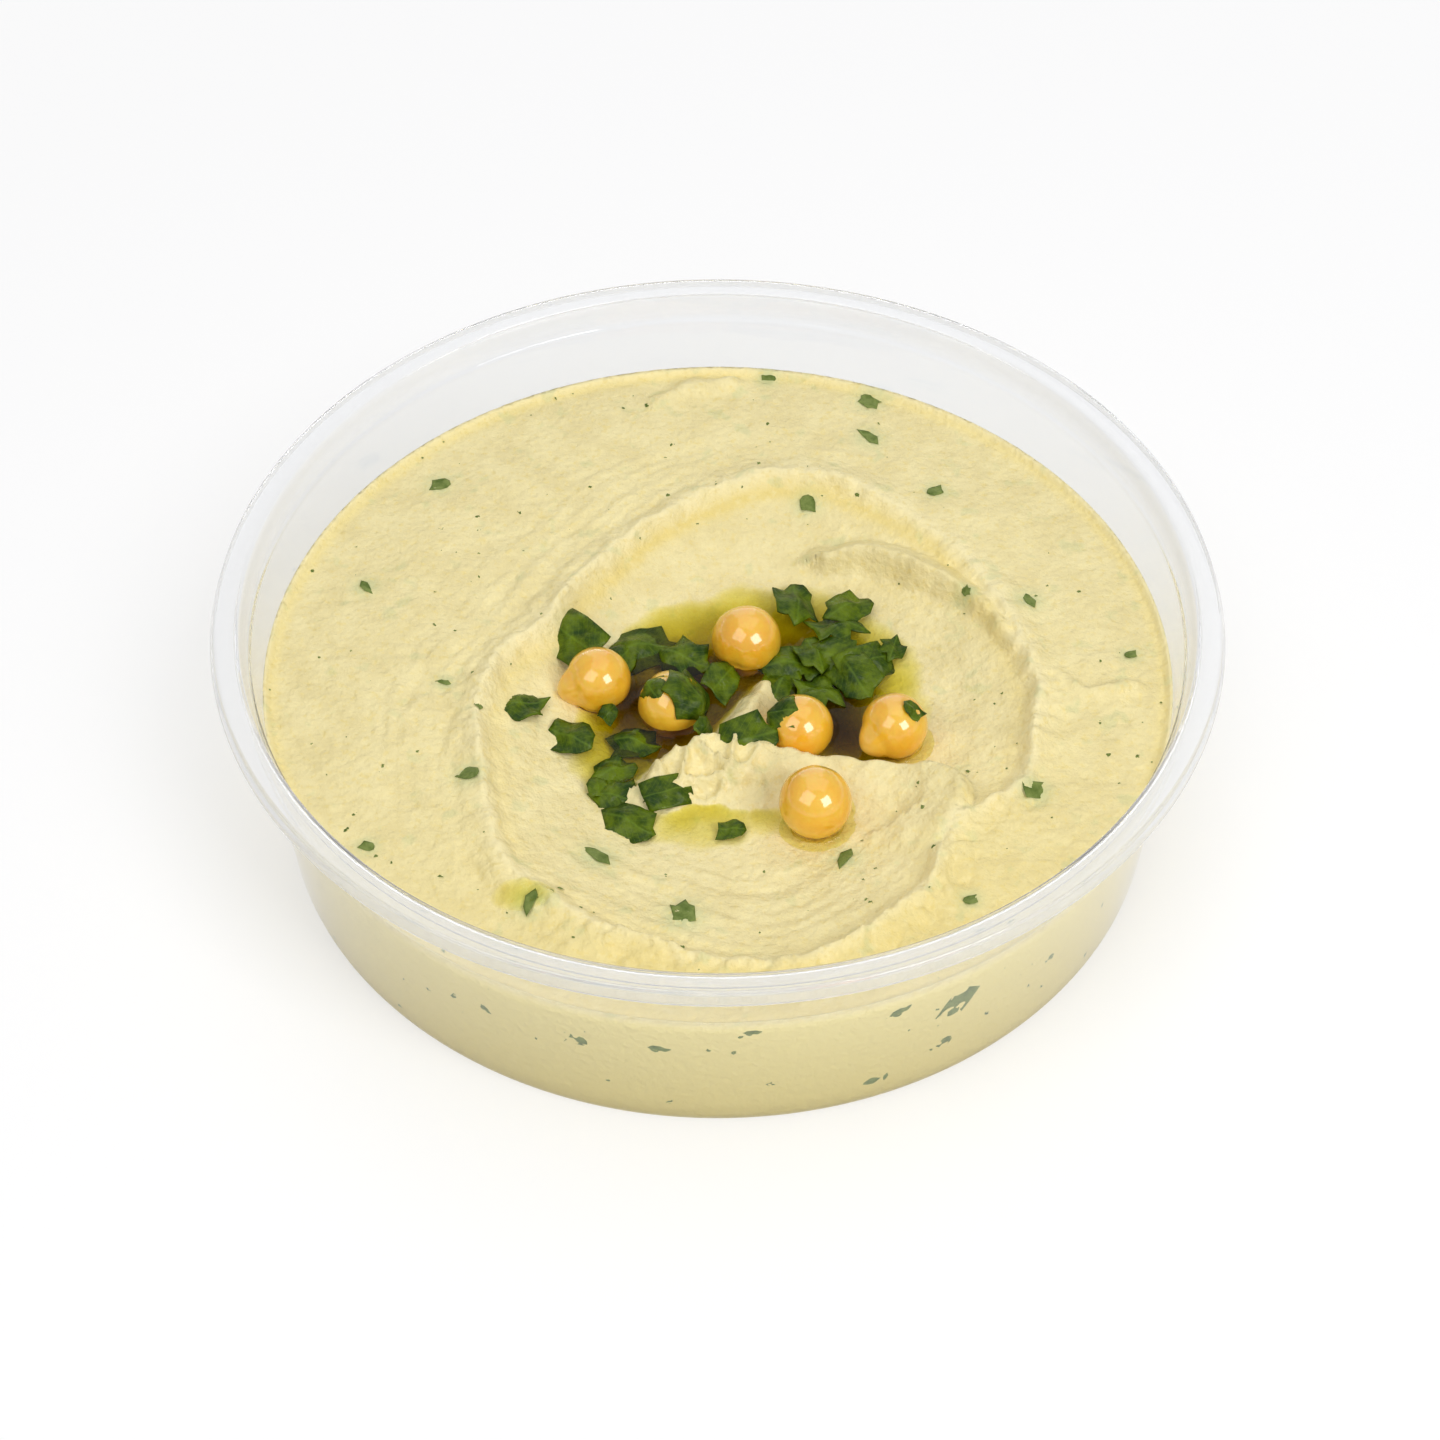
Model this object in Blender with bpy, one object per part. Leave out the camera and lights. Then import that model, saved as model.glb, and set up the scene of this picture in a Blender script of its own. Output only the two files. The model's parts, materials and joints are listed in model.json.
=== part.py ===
"""A shallow clear tub of hummus, its top swirled with a spoon around a pool of olive oil.

Run with: blender --background --python part.py

Lengths below are in millimetres and become metres when a mesh is made. +Z is up, the underside
of the tub stands on z = 0 around the Z axis, and the front of the swirl faces -Y. Angles are in
degrees, anticlockwise from +X as seen from above.
"""
import math

import bmesh
import bpy
import numpy as np
from mathutils import Vector

MM = 0.001
GAP = 0.3                       # clearance between neighbouring pieces

# Tub: turned wall, floor, lid seat, flat flange and down-turned skirt
TUB_HEIGHT = 32.8
TUB_SEGMENTS = 64
FLANGE_INNER_RADIUS = 58.6
FLANGE_OUTER_RADIUS = 61.5
SKIRT_RADIUS = 62.2
SKIRT_DROP = 1.75
WALL = 0.55
BASE_RADIUS = 54.9              # where the straight outer wall line meets z = 0
WALL_SLOPE = 0.105              # outward run for each unit of height
FOOT_ROUNDING = 1.8
LID_SEAT_DEPTH = 3.5
LID_SEAT_STEP = 0.35
FOOT_STEPS = 2                  # straight steps round the foot
FOOT_START = -90.0              # the foot's rounding runs from straight down
FOOT_END = -6.0                 # to square with the tapered wall
SEAT_DROP = 0.2                 # how far the seat's outer corners lie under its inner ones
FLANGE_LEAN = 0.45              # how far the skirt leans out
FLANGE_EDGE = 0.25              # bevel of the flange's outer corner
FLANGE_LIP = (0.3, 0.4)         # bevel of its inner corner, inward and down
FLOOR_CORNER = 0.4              # inner corner of the floor as a share of the foot's rounding
FLOOR_RISE = 0.2                # how far the floor rises at that corner

# Hummus: levels above the surface that the tub stands on
WALL_LEVEL = 20.7               # where it meets the tub wall
FIELD_LEVEL = 21.1              # outer ring between the wall and the swirl
CREST_LIFT = 1.2                # the spoon's ridge above that ring
POOL_LEVEL = 17.5               # surface of the oil
POOL_DEPTH = 2.6
HUMMUS_SEGMENTS = 64
POOL_RINGS = 8
BANK_RINGS = 8
FIELD_RINGS = 5

# Swirl, in plan about its own centre
WELL_CENTRE = (1.0, -7.0)
SHORE = ((0, 24.0), (45, 28.0), (90, 25.0), (135, 21.5), (180, 19.0), (225, 21.0), (270, 19.2),
         (315, 20.5))
CREST = ((0, 38.4), (30, 39.5), (60, 43.0), (80, 43.0), (103, 35.5), (122, 30.7), (146, 27.4),
         (164, 29.6), (186, 30.5), (206, 32.4), (224, 36.3), (249, 38.0), (282, 41.0),
         (309, 37.3), (326, 33.8), (342, 37.6))
BANK_CURVE = 1.3                # how the bank steepens from the shore up to the crest
CREST_INNER_RUN = 2.2
CREST_OUTER_RUN = 4.5

# Free ridges: knots of (x, y, crest height), then the run of the left and of the right flank
TONGUE = ((28.4, -25.5, 22.3), (29.3, -20.5, 22.5), (27.0, -17.4, 22.1), (22.0, -16.0, 21.0),
          (16.0, -14.4, 20.5), (9.0, -12.8, 20.3), (1.5, -11.2, 20.9), (-3.5, -12.4, 20.4),
          (-8.2, -15.6, 19.4))
TONGUE_FLANKS = (9.0, 3.0)
FOLD = ((14.0, 21.5, 20.4), (19.5, 21.3, 21.6), (24.6, 18.9, 21.9), (29.6, 15.6, 21.9),
        (33.5, 11.5, 22.0), (37.5, 4.0, 22.2))
FOLD_FLANKS = (5.0, 3.2)
ISLET = ((6.0, 0.0, 18.3), (4.5, -3.0, 19.0), (2.0, -8.0, 19.6))
ISLET_FLANKS = (2.6, 2.6)
FLANK_DROP = 4.0                # how far a free ridge falls over one run
BLEND = 0.5                     # softness where a ridge meets the surface under it
ROUTE_STEPS = 12                # straight steps between two knots of a ridge

# Chickpeas: centre, radius, and the way the beak points (plan angle, tilt)
CHICKPEAS = {
    "chickpea_back": ((3.6, 7.3, 19.1), 4.4, (250.0, -50.0)),
    "chickpea_left": ((-15.0, 0.2, 19.2), 4.15, (198.0, -8.0)),
    "chickpea_sunk": ((-5.8, -3.3, 18.3), 4.15, (100.0, 20.0)),
    "chickpea_middle": ((10.1, -7.8, 18.9), 4.2, (150.0, -35.0)),
    "chickpea_right": ((21.8, -8.9, 20.4), 4.1, (215.0, -15.0)),
    "chickpea_front": ((11.8, -22.4, 21.3), 4.45, (70.0, -40.0)),
}
BEAK_REACH = 0.17               # beak length as a share of the radius
BEAK_SPREAD = 26.0
SEAM_DEPTH = 0.05
SEAM_SPREAD = 14.0              # how wide the seam is
SEAM_START = 33.8               # how far from the beak the seam is deepest
SEAM_REACH = 30.0               # how far along it fades


def make_material(name, colour, roughness, alpha=1.0, transmission=0.0):
    """Return a Principled material."""
    material = bpy.data.materials.new(name)
    material.use_nodes = True
    shader = material.node_tree.nodes["Principled BSDF"]
    shader.inputs["Base Color"].default_value = (*colour, 1.0)
    shader.inputs["Roughness"].default_value = roughness
    shader.inputs["Alpha"].default_value = alpha
    shader.inputs["Transmission Weight"].default_value = transmission
    return material


def make_object(name, points, faces, material):
    """Make a smooth-shaded mesh object from points in millimetres."""
    mesh = bpy.data.meshes.new(name)
    mesh.from_pydata([tuple(MM * c for c in p) for p in points], [], faces)
    mesh.materials.append(material)
    mesh.shade_smooth()
    mesh.set_sharp_from_angle(angle=math.radians(40))
    thing = bpy.data.objects.new(name, mesh)
    bpy.context.collection.objects.link(thing)
    return thing


def hide_cutter(cutter):
    """Mark an object as a cutter, which is no part of the tub or the food."""
    cutter.hide_render = True
    cutter.display_type = 'WIRE'
    return cutter


def subtract(thing, cutter, label):
    """Cut one object out of another with an exact Boolean."""
    cut = thing.modifiers.new(label, 'BOOLEAN')
    cut.operation = 'DIFFERENCE'
    cut.solver = 'EXACT'
    cut.object = cutter


def smoothstep(low, high, value):
    """Rise smoothly from 0 at low to 1 at high."""
    t = np.clip((value - low) / (high - low), 0.0, 1.0)
    return t * t * (3.0 - 2.0 * t)


def soft_max(a, b, blend):
    """Return the larger of two heights, rounded off over the blend."""
    return 0.5 * (a + b + np.sqrt((a - b) ** 2 + blend ** 2))


def catmull_rom(a, b, c, d, t):
    """Return the point at t between b and c on a smooth curve through four knots."""
    return 0.5 * (2.0 * b + (c - a) * t + (2.0 * a - 5.0 * b + 4.0 * c - d) * t ** 2
                  + (3.0 * b - a - 3.0 * c + d) * t ** 3)


def ring_radius(knots, degrees):
    """Return the radius of a closed outline, given as (angle, radius) knots, at each angle."""
    angles = np.array([k[0] for k in knots], float)
    radii = np.array([k[1] for k in knots], float)
    count = len(knots)
    spans = (np.roll(angles, -1) - angles) % 360.0
    turn = (np.asarray(degrees, float) - angles[0]) % 360.0
    starts = (angles - angles[0]) % 360.0
    i = np.clip(np.searchsorted(starts, turn, side="right") - 1, 0, count - 1)
    t = (turn - starts[i]) / spans[i]
    return catmull_rom(radii[i - 1], radii[i], radii[(i + 1) % count], radii[(i + 2) % count], t)


def route_points(knots):
    """Return closely spaced points on a smooth open curve through the knots."""
    k = np.array([knots[0], *knots, knots[-1]], float)
    points = []
    for i in range(1, len(k) - 2):
        for step in range(ROUTE_STEPS):
            points.append(catmull_rom(k[i - 1], k[i], k[i + 1], k[i + 2], step / ROUTE_STEPS))
    points.append(k[-1])
    return np.array(points)


def free_ridge(x, y, knots, flanks):
    """Return the height of a ridge with its own crest line, falling away on both sides."""
    route = route_points(knots)
    a = route[:-1]
    along = route[1:] - a
    length2 = (along[:, :2] ** 2).sum(axis=1)
    best = np.full(x.shape, np.inf)
    crest = np.zeros(x.shape)
    side = np.zeros(x.shape)
    for p, v, n2 in zip(a, along, length2):
        t = np.clip(((x - p[0]) * v[0] + (y - p[1]) * v[1]) / n2, 0.0, 1.0)
        dx = x - p[0] - t * v[0]
        dy = y - p[1] - t * v[1]
        d = np.hypot(dx, dy)
        nearer = d < best
        best = np.where(nearer, d, best)
        crest = np.where(nearer, p[2] + t * v[2], crest)
        side = np.where(nearer, v[0] * dy - v[1] * dx, side)
    run = np.where(side > 0.0, flanks[0], flanks[1])
    return crest - FLANK_DROP * best / run


def surface_height(x, y):
    """Return the height of the hummus at each (x, y), before the chickpeas are pressed in."""
    dx = x - WELL_CENTRE[0]
    dy = y - WELL_CENTRE[1]
    rho = np.hypot(dx, dy)
    angle = np.degrees(np.arctan2(dy, dx))
    shore = ring_radius(SHORE, angle)
    crest = ring_radius(CREST, angle)
    field = FIELD_LEVEL + (WALL_LEVEL - FIELD_LEVEL) * smoothstep(44.0, 56.5, np.hypot(x, y))
    climb = np.clip((rho - shore) / (crest - shore), 0.0, 1.0)
    bank = POOL_LEVEL + (field - POOL_LEVEL) * climb ** BANK_CURVE
    bed = POOL_LEVEL - POOL_DEPTH * (1.0 - np.clip(rho / shore, 0.0, 1.0) ** 2)
    height = np.where(rho < shore, bed, bank)
    out = rho - crest
    run = np.where(out > 0.0, CREST_OUTER_RUN, CREST_INNER_RUN)
    height = height + CREST_LIFT * np.clip(1.0 - np.abs(out) / run, 0.0, 1.0) ** 1.5
    for knots, flanks in ((TONGUE, TONGUE_FLANKS), (FOLD, FOLD_FLANKS), (ISLET, ISLET_FLANKS)):
        height = soft_max(height, free_ridge(x, y, knots, flanks), BLEND)
    return height


def inner_wall_radius(z):
    """Return the radius of the tub's inner wall at a height."""
    return BASE_RADIUS - WALL + WALL_SLOPE * z


def turned_solid(name, profile, segments, material):
    """Turn a closed (radius, height) profile, which starts and ends on the axis, into a solid."""
    points = [(0.0, 0.0, profile[0][1]), (0.0, 0.0, profile[-1][1])]
    for r, z in profile[1:-1]:
        for k in range(segments):
            a = math.tau * k / segments
            points.append((r * math.cos(a), r * math.sin(a), z))
    rings = len(profile) - 2
    faces = []
    for k in range(segments):
        n = (k + 1) % segments
        faces.append((0, 2 + n, 2 + k))
        for i in range(rings - 1):
            low = 2 + i * segments
            high = low + segments
            faces.append((low + k, low + n, high + n, high + k))
        last = 2 + (rings - 1) * segments
        faces.append((1, last + k, last + n))
    return make_object(name, points, faces, material)


def make_tub(material):
    """Make the clear tub: foot, tapered wall, lid seat, flange and skirt in one skin."""
    top = TUB_HEIGHT
    seat = top - LID_SEAT_DEPTH
    seat_radius = inner_wall_radius(seat - LID_SEAT_STEP) + LID_SEAT_STEP
    profile = [(0.0, 0.0)]
    for k in range(FOOT_STEPS + 1):
        a = math.radians(FOOT_START + (FOOT_END - FOOT_START) * k / FOOT_STEPS)
        profile.append((BASE_RADIUS - FOOT_ROUNDING + FOOT_ROUNDING * math.cos(a),
                        FOOT_ROUNDING + FOOT_ROUNDING * math.sin(a)))
    profile += [
        (inner_wall_radius(seat - LID_SEAT_STEP) + WALL, seat - LID_SEAT_STEP - SEAT_DROP),
        (seat_radius + WALL, seat - SEAT_DROP),
        (FLANGE_INNER_RADIUS + WALL, top - WALL),
        (SKIRT_RADIUS - FLANGE_LEAN - WALL, top - WALL),
        (SKIRT_RADIUS - WALL, top - SKIRT_DROP),
        (SKIRT_RADIUS, top - SKIRT_DROP),
        (FLANGE_OUTER_RADIUS + FLANGE_EDGE, top - FLANGE_EDGE),
        (FLANGE_OUTER_RADIUS, top),
        (FLANGE_INNER_RADIUS, top),
        (FLANGE_INNER_RADIUS - FLANGE_LIP[0], top - FLANGE_LIP[1]),
        (seat_radius, seat),
        (inner_wall_radius(seat - LID_SEAT_STEP), seat - LID_SEAT_STEP),
        (inner_wall_radius(FOOT_ROUNDING), FOOT_ROUNDING),
        (inner_wall_radius(0.0) - FLOOR_CORNER * FOOT_ROUNDING, WALL + FLOOR_RISE),
        (inner_wall_radius(0.0) - FOOT_ROUNDING, WALL),
        (0.0, WALL),
    ]
    return turned_solid("tub", profile, TUB_SEGMENTS, material)


def swirl_grid():
    """Return the plan points of the hummus top: rings that follow the shore and the crest."""
    cx, cy = WELL_CENTRE
    rim = inner_wall_radius(WALL_LEVEL) - GAP
    rings = []
    angles = np.arange(HUMMUS_SEGMENTS) * 360.0 / HUMMUS_SEGMENTS
    c = np.cos(np.radians(angles))
    s = np.sin(np.radians(angles))
    along = cx * c + cy * s
    edge = -along + np.sqrt(along ** 2 + rim ** 2 - cx ** 2 - cy ** 2)
    shore = ring_radius(SHORE, angles)
    crest = ring_radius(CREST, angles)
    for k in range(1, POOL_RINGS + 1):
        rings.append(shore * k / POOL_RINGS)
    for k in range(1, BANK_RINGS + 1):
        rings.append(shore + (crest - shore) * (k / BANK_RINGS) ** 0.9)
    for k in range(1, FIELD_RINGS + 1):
        rings.append(crest + (edge - crest) * (k / FIELD_RINGS) ** 1.3)
    return [(cx + r * c, cy + r * s) for r in rings]


def swirl_solid(name, lift, floor, floor_radius, material):
    """Make a closed solid under the swirled surface, raised by lift, down to a flat floor."""
    cx, cy = WELL_CENTRE
    points = [(0.0, 0.0, floor)]
    points.append((cx, cy, float(surface_height(np.array([cx]), np.array([cy]))[0]) + lift))
    grid = swirl_grid()
    for x, y in grid:
        z = surface_height(x, y) + lift
        points += list(zip(x.tolist(), y.tolist(), z.tolist()))
    edge_x, edge_y = grid[-1]
    shrink = floor_radius / np.hypot(edge_x, edge_y)
    points += [(px, py, floor) for px, py in zip(edge_x * shrink, edge_y * shrink)]
    n = HUMMUS_SEGMENTS
    rings = len(grid) + 1
    faces = []
    for k in range(n):
        m = (k + 1) % n
        faces.append((1, 2 + k, 2 + m))
        for i in range(rings - 1):
            near = 2 + i * n
            far = near + n
            faces.append((near + k, far + k, far + m))
            faces.append((near + k, far + m, near + m))
        last = 2 + (rings - 1) * n
        faces.append((0, last + m, last + k))
    return make_object(name, points, faces, material)


def chickpea_points(sphere, centre, radius, beak):
    """Shape unit sphere points into a chickpea: a pointed beak and a seam between two halves."""
    plan, tilt = math.radians(beak[0]), math.radians(beak[1])
    tip = Vector((math.cos(tilt) * math.cos(plan), math.cos(tilt) * math.sin(plan), math.sin(tilt)))
    across = tip.cross(Vector((0.0, 0.0, 1.0))).normalized()
    points = []
    for p in sphere:
        off_beak = math.degrees(tip.angle(p))
        off_seam = math.degrees(math.asin(max(-1.0, min(1.0, across.dot(p)))))
        bulge = BEAK_REACH * math.exp(-(off_beak / BEAK_SPREAD) ** 2)
        near_beak = math.exp(-((off_beak - SEAM_START) / SEAM_REACH) ** 2)
        seam = SEAM_DEPTH * near_beak * math.exp(-(off_seam / SEAM_SPREAD) ** 2)
        points.append(Vector(centre) + p * radius * (1.0 + bulge - seam))
    return points


def make_chickpea(name, centre, radius, beak, material):
    """Make one closed chickpea."""
    ball = bmesh.new()
    bmesh.ops.create_icosphere(ball, subdivisions=3, radius=1.0)
    sphere = [v.co.normalized() for v in ball.verts]
    faces = [tuple(v.index for v in f.verts) for f in ball.faces]
    ball.free()
    return make_object(name, chickpea_points(sphere, centre, radius, beak), faces, material)


def keep_largest_piece(thing, name, material):
    """Turn an object's modified mesh into a plain one that holds only its largest piece."""
    bpy.context.view_layer.update()
    evaluated = thing.evaluated_get(bpy.context.evaluated_depsgraph_get())
    work = bmesh.new()
    work.from_mesh(evaluated.to_mesh())
    pieces = []
    unseen = set(work.verts)
    while unseen:
        piece = set()
        front = [next(v for v in work.verts if v in unseen)]
        while front:
            vert = front.pop()
            if vert in piece:
                continue
            piece.add(vert)
            front += [edge.other_vert(vert) for edge in vert.link_edges]
        unseen -= piece
        pieces.append(piece)
    largest = max(pieces, key=len)
    bmesh.ops.delete(work, geom=[v for v in work.verts if v not in largest], context='VERTS')
    bmesh.ops.triangulate(work, faces=work.faces)
    mesh = bpy.data.meshes.new(name)
    work.to_mesh(mesh)
    work.free()
    mesh.materials.clear()
    mesh.materials.append(material)
    solid = bpy.data.objects.new(name, mesh)
    bpy.context.collection.objects.link(solid)
    return solid


def make_oil(bed, chickpea_cutters, material):
    """Make the pool: a flat-topped block, less the hummus under it and the chickpeas in it."""
    cx, cy = WELL_CENTRE
    angles = np.arange(HUMMUS_SEGMENTS) * 360.0 / HUMMUS_SEGMENTS
    reach = ring_radius(SHORE, angles) + 1.0
    points = [(cx, cy, POOL_LEVEL - POOL_DEPTH - 1.0), (cx, cy, POOL_LEVEL)]
    for z in (POOL_LEVEL - POOL_DEPTH - 1.0, POOL_LEVEL):
        for r, a in zip(reach, np.radians(angles)):
            points.append((cx + r * math.cos(a), cy + r * math.sin(a), z))
    n = HUMMUS_SEGMENTS
    faces = []
    for k in range(n):
        m = (k + 1) % n
        faces.append((0, 2 + m, 2 + k))
        faces.append((1, 2 + n + k, 2 + n + m))
        faces.append((2 + k, 2 + m, 2 + n + m, 2 + n + k))
    block = make_object("oil_block", points, faces, material)
    subtract(block, bed, "hummus under the oil")
    for k, cutter in enumerate(chickpea_cutters):
        subtract(block, cutter, "chickpea %d" % (k + 1))
    pool = keep_largest_piece(block, "oil_pool", material)
    bpy.data.objects.remove(block, do_unlink=True)
    return pool


def main():
    """Build the tub, the hummus, the chickpeas and the oil."""
    for old in list(bpy.data.objects):
        bpy.data.objects.remove(old, do_unlink=True)
    clear = make_material("clear_plastic", (0.93, 0.94, 0.94), 0.06, alpha=0.3, transmission=0.9)
    dip = make_material("hummus", (0.80, 0.70, 0.38), 0.55)
    pulse = make_material("chickpea", (0.80, 0.47, 0.12), 0.3)
    oil = make_material("olive_oil", (0.52, 0.42, 0.03), 0.05, transmission=0.5)

    make_tub(clear)
    floor = WALL + GAP
    foot = inner_wall_radius(0.0) - FOOT_ROUNDING
    hummus = swirl_solid("hummus", 0.0, floor, foot, dip)
    bed = hide_cutter(swirl_solid("oil_bed_cutter", GAP, floor, foot, dip))

    cutters = []
    for name, (centre, radius, beak) in CHICKPEAS.items():
        make_chickpea(name, centre, radius, beak, pulse)
        cutter = make_chickpea(name + "_cutter", centre, radius + GAP, beak, pulse)
        cutters.append(hide_cutter(cutter))
        subtract(hummus, cutter, name)
    make_oil(bed, cutters, oil)


main()
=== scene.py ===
"""Looks of a clear tub of hummus with a spoon swirl, a pool of olive oil, chickpeas and parsley.

Lengths are in millimetres and become metres when a mesh is made; angles are in degrees,
anticlockwise from +X seen from above. The tub stands on z = 0 and the swirl faces -Y.
"""
import json
import logging
import math
from dataclasses import dataclass, field
from enum import Enum
from typing import Optional, Sequence

import bmesh
import bpy
import numpy as np
from mathutils import Euler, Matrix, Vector

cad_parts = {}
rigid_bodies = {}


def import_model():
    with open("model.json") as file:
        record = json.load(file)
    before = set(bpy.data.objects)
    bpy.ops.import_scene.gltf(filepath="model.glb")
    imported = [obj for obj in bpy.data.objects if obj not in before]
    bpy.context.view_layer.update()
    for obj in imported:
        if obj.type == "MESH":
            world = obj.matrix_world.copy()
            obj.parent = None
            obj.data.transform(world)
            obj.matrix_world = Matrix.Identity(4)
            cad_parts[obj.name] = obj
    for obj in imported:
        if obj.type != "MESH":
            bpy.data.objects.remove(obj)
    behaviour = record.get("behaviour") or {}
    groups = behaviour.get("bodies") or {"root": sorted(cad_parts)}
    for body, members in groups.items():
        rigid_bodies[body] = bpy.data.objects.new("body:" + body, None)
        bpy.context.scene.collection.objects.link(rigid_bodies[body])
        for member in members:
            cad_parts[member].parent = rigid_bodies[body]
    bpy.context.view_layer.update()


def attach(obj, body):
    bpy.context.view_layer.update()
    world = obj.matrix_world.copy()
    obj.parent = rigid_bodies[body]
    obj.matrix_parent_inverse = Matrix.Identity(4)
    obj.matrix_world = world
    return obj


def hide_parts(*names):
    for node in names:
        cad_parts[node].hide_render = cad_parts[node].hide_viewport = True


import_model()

LOG = logging.getLogger("hummus_tub")
MM = 0.001
BODY = "root"
Colour = tuple[float, float, float]
Knots = tuple[tuple[float, ...], ...]
Array = np.ndarray


# ---------------------------------------------------------------- shared numbers of the model

TUB_HEIGHT = 32.8
WALL = 0.55
BASE_RADIUS = 54.9
WALL_SLOPE = 0.105
FOOT_ROUNDING = 1.8
WALL_LEVEL = 20.7
FIELD_LEVEL = 21.1
POOL_LEVEL = 17.5
WELL_CENTRE = (1.0, -7.0)


def inner_wall_radius(z: float) -> float:
    """Return the radius of the tub's inner wall at a height."""
    return BASE_RADIUS - WALL + WALL_SLOPE * z


# ---------------------------------------------------------------- numbers and noise

def linear(red: int, green: int, blue: int) -> Colour:
    """Turn a display colour into the linear one that shaders use.

    Args:
        red, green, blue: channels from 0 to 255.

    Returns:
        The linear channels from 0 to 1.
    """
    def channel(value: int) -> float:
        share = value / 255.0
        return share / 12.92 if share <= 0.04045 else ((share + 0.055) / 1.055) ** 2.4
    return channel(red), channel(green), channel(blue)


def smoothstep(low: float, high: float, value: Array) -> Array:
    """Rise smoothly from 0 at low to 1 at high."""
    t = np.clip((value - low) / (high - low), 0.0, 1.0)
    return t * t * (3.0 - 2.0 * t)


def soft_max(a: Array, b: Array, blend: float) -> Array:
    """Return the larger of two heights, rounded off over the blend."""
    return 0.5 * (a + b + np.sqrt((a - b) ** 2 + blend ** 2))


def catmull_rom(a: Array, b: Array, c: Array, d: Array, t: Array) -> Array:
    """Return the point at t between b and c on a smooth curve through four knots."""
    return 0.5 * (2.0 * b + (c - a) * t + (2.0 * a - 5.0 * b + 4.0 * c - d) * t ** 2
                  + (3.0 * b - a - 3.0 * c + d) * t ** 3)


def ring_radius(knots: Knots, degrees: Array) -> Array:
    """Return the radius of a closed outline at each angle.

    Args:
        knots: (angle, radius) pairs round the outline, in order.
        degrees: the angles to look up.

    Returns:
        The radii, on a smooth curve through the knots.
    """
    angles = np.array([k[0] for k in knots], float)
    radii = np.array([k[1] for k in knots], float)
    count = len(knots)
    spans = (np.roll(angles, -1) - angles) % 360.0
    turn = (np.asarray(degrees, float) - angles[0]) % 360.0
    i = np.clip(np.searchsorted(angles - angles[0], turn, side="right") - 1, 0, count - 1)
    t = (turn - (angles - angles[0])[i]) / spans[i]
    return catmull_rom(radii[i - 1], radii[i], radii[(i + 1) % count], radii[(i + 2) % count], t)


class GradientNoise:
    """Smooth, repeatable noise over the plane, from about -1 to 1.

    Attributes:
        GAIN: what brings the raw noise to about -1 to 1.
        FINER: how much finer each layer of rough noise is than the one before.
        WEAKER: how much weaker it is.
        SHIFT: how far each layer is moved, so that their lattices don't meet.
    """

    GAIN = 1.6
    FINER = 2.03
    WEAKER = 0.5
    SHIFT = (7.3, -4.1)

    def __init__(self, seed: int) -> None:
        """Fix the lattice.

        Args:
            seed: the number that fixes it.
        """
        dice = np.random.default_rng(seed)
        self._order = dice.permutation(256)
        turns = dice.uniform(0.0, math.tau, 256)
        self._east = np.cos(turns)
        self._north = np.sin(turns)

    def at(self, x: Array, y: Array) -> Array:
        """Return the noise at points.

        Args:
            x, y: the points, in lattice units.

        Returns:
            The noise at each.
        """
        x, y = np.broadcast_arrays(np.asarray(x, float), np.asarray(y, float))
        x0 = np.floor(x).astype(int)
        y0 = np.floor(y).astype(int)
        fx = x - x0
        fy = y - y0

        def corner(ix: int, iy: int) -> Array:
            """Return the share of one corner of the lattice cell."""
            pick = self._order[(self._order[(x0 + ix) & 255] + y0 + iy) & 255]
            return self._east[pick] * (fx - ix) + self._north[pick] * (fy - iy)

        u = fx ** 3 * (fx * (fx * 6.0 - 15.0) + 10.0)
        v = fy ** 3 * (fy * (fy * 6.0 - 15.0) + 10.0)
        low = corner(0, 0) * (1.0 - u) + corner(1, 0) * u
        high = corner(0, 1) * (1.0 - u) + corner(1, 1) * u
        return self.GAIN * (low * (1.0 - v) + high * v)

    def rough(self, x: Array, y: Array, layers: int = 3) -> Array:
        """Return layered noise, each layer finer and weaker than the one before.

        Args:
            x, y: the points, in units of the first layer's lattice.
            layers: how many layers there are.

        Returns:
            The noise at each point.
        """
        total = np.zeros(np.broadcast(x, y).shape)
        for k in range(layers):
            scale = self.FINER ** k
            layer = self.at(x * scale + self.SHIFT[0] * k, y * scale + self.SHIFT[1] * k)
            total = total + layer * self.WEAKER ** k
        return total


def sector(angle: Array, centre: float, width: float) -> Array:
    """Return a weight that is 1 at an angle and fades smoothly over a width."""
    off = (np.asarray(angle) - centre + 180.0) % 360.0 - 180.0
    return np.exp(-(off / width) ** 2)


# ---------------------------------------------------------------- meshes

def make_mesh_object(name: str, points: Array, faces: Sequence[Sequence[int]] | Array,
                     smooth: bool = True) -> bpy.types.Object:
    """Make an object from points in millimetres.

    Args:
        name: the piece's name.
        points: an array of shape (n, 3).
        faces: vertex numbers of each face, anticlockwise from outside.
        smooth: whether the faces are shaded smooth.

    Returns:
        The linked object.
    """
    mesh = bpy.data.meshes.new(name)
    rows = faces.tolist() if isinstance(faces, np.ndarray) else list(faces)
    mesh.from_pydata((np.asarray(points, float) * MM).tolist(), [], rows)
    if smooth:
        mesh.shade_smooth()
    mesh.update()
    thing = bpy.data.objects.new(name, mesh)
    bpy.context.collection.objects.link(thing)
    return thing


def set_attribute(thing: bpy.types.Object, name: str, values: Array) -> None:
    """Store one number, or one vector, for each vertex of an object.

    Args:
        thing: the object.
        name: the attribute's name.
        values: an array of shape (n,) for numbers or (n, 3) for vectors.
    """
    values = np.asarray(values, np.float32)
    if values.ndim == 2:
        layer = thing.data.attributes.new(name, 'FLOAT_VECTOR', 'POINT')
        layer.data.foreach_set("vector", values.ravel())
    else:
        layer = thing.data.attributes.new(name, 'FLOAT', 'POINT')
        layer.data.foreach_set("value", values)


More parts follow.
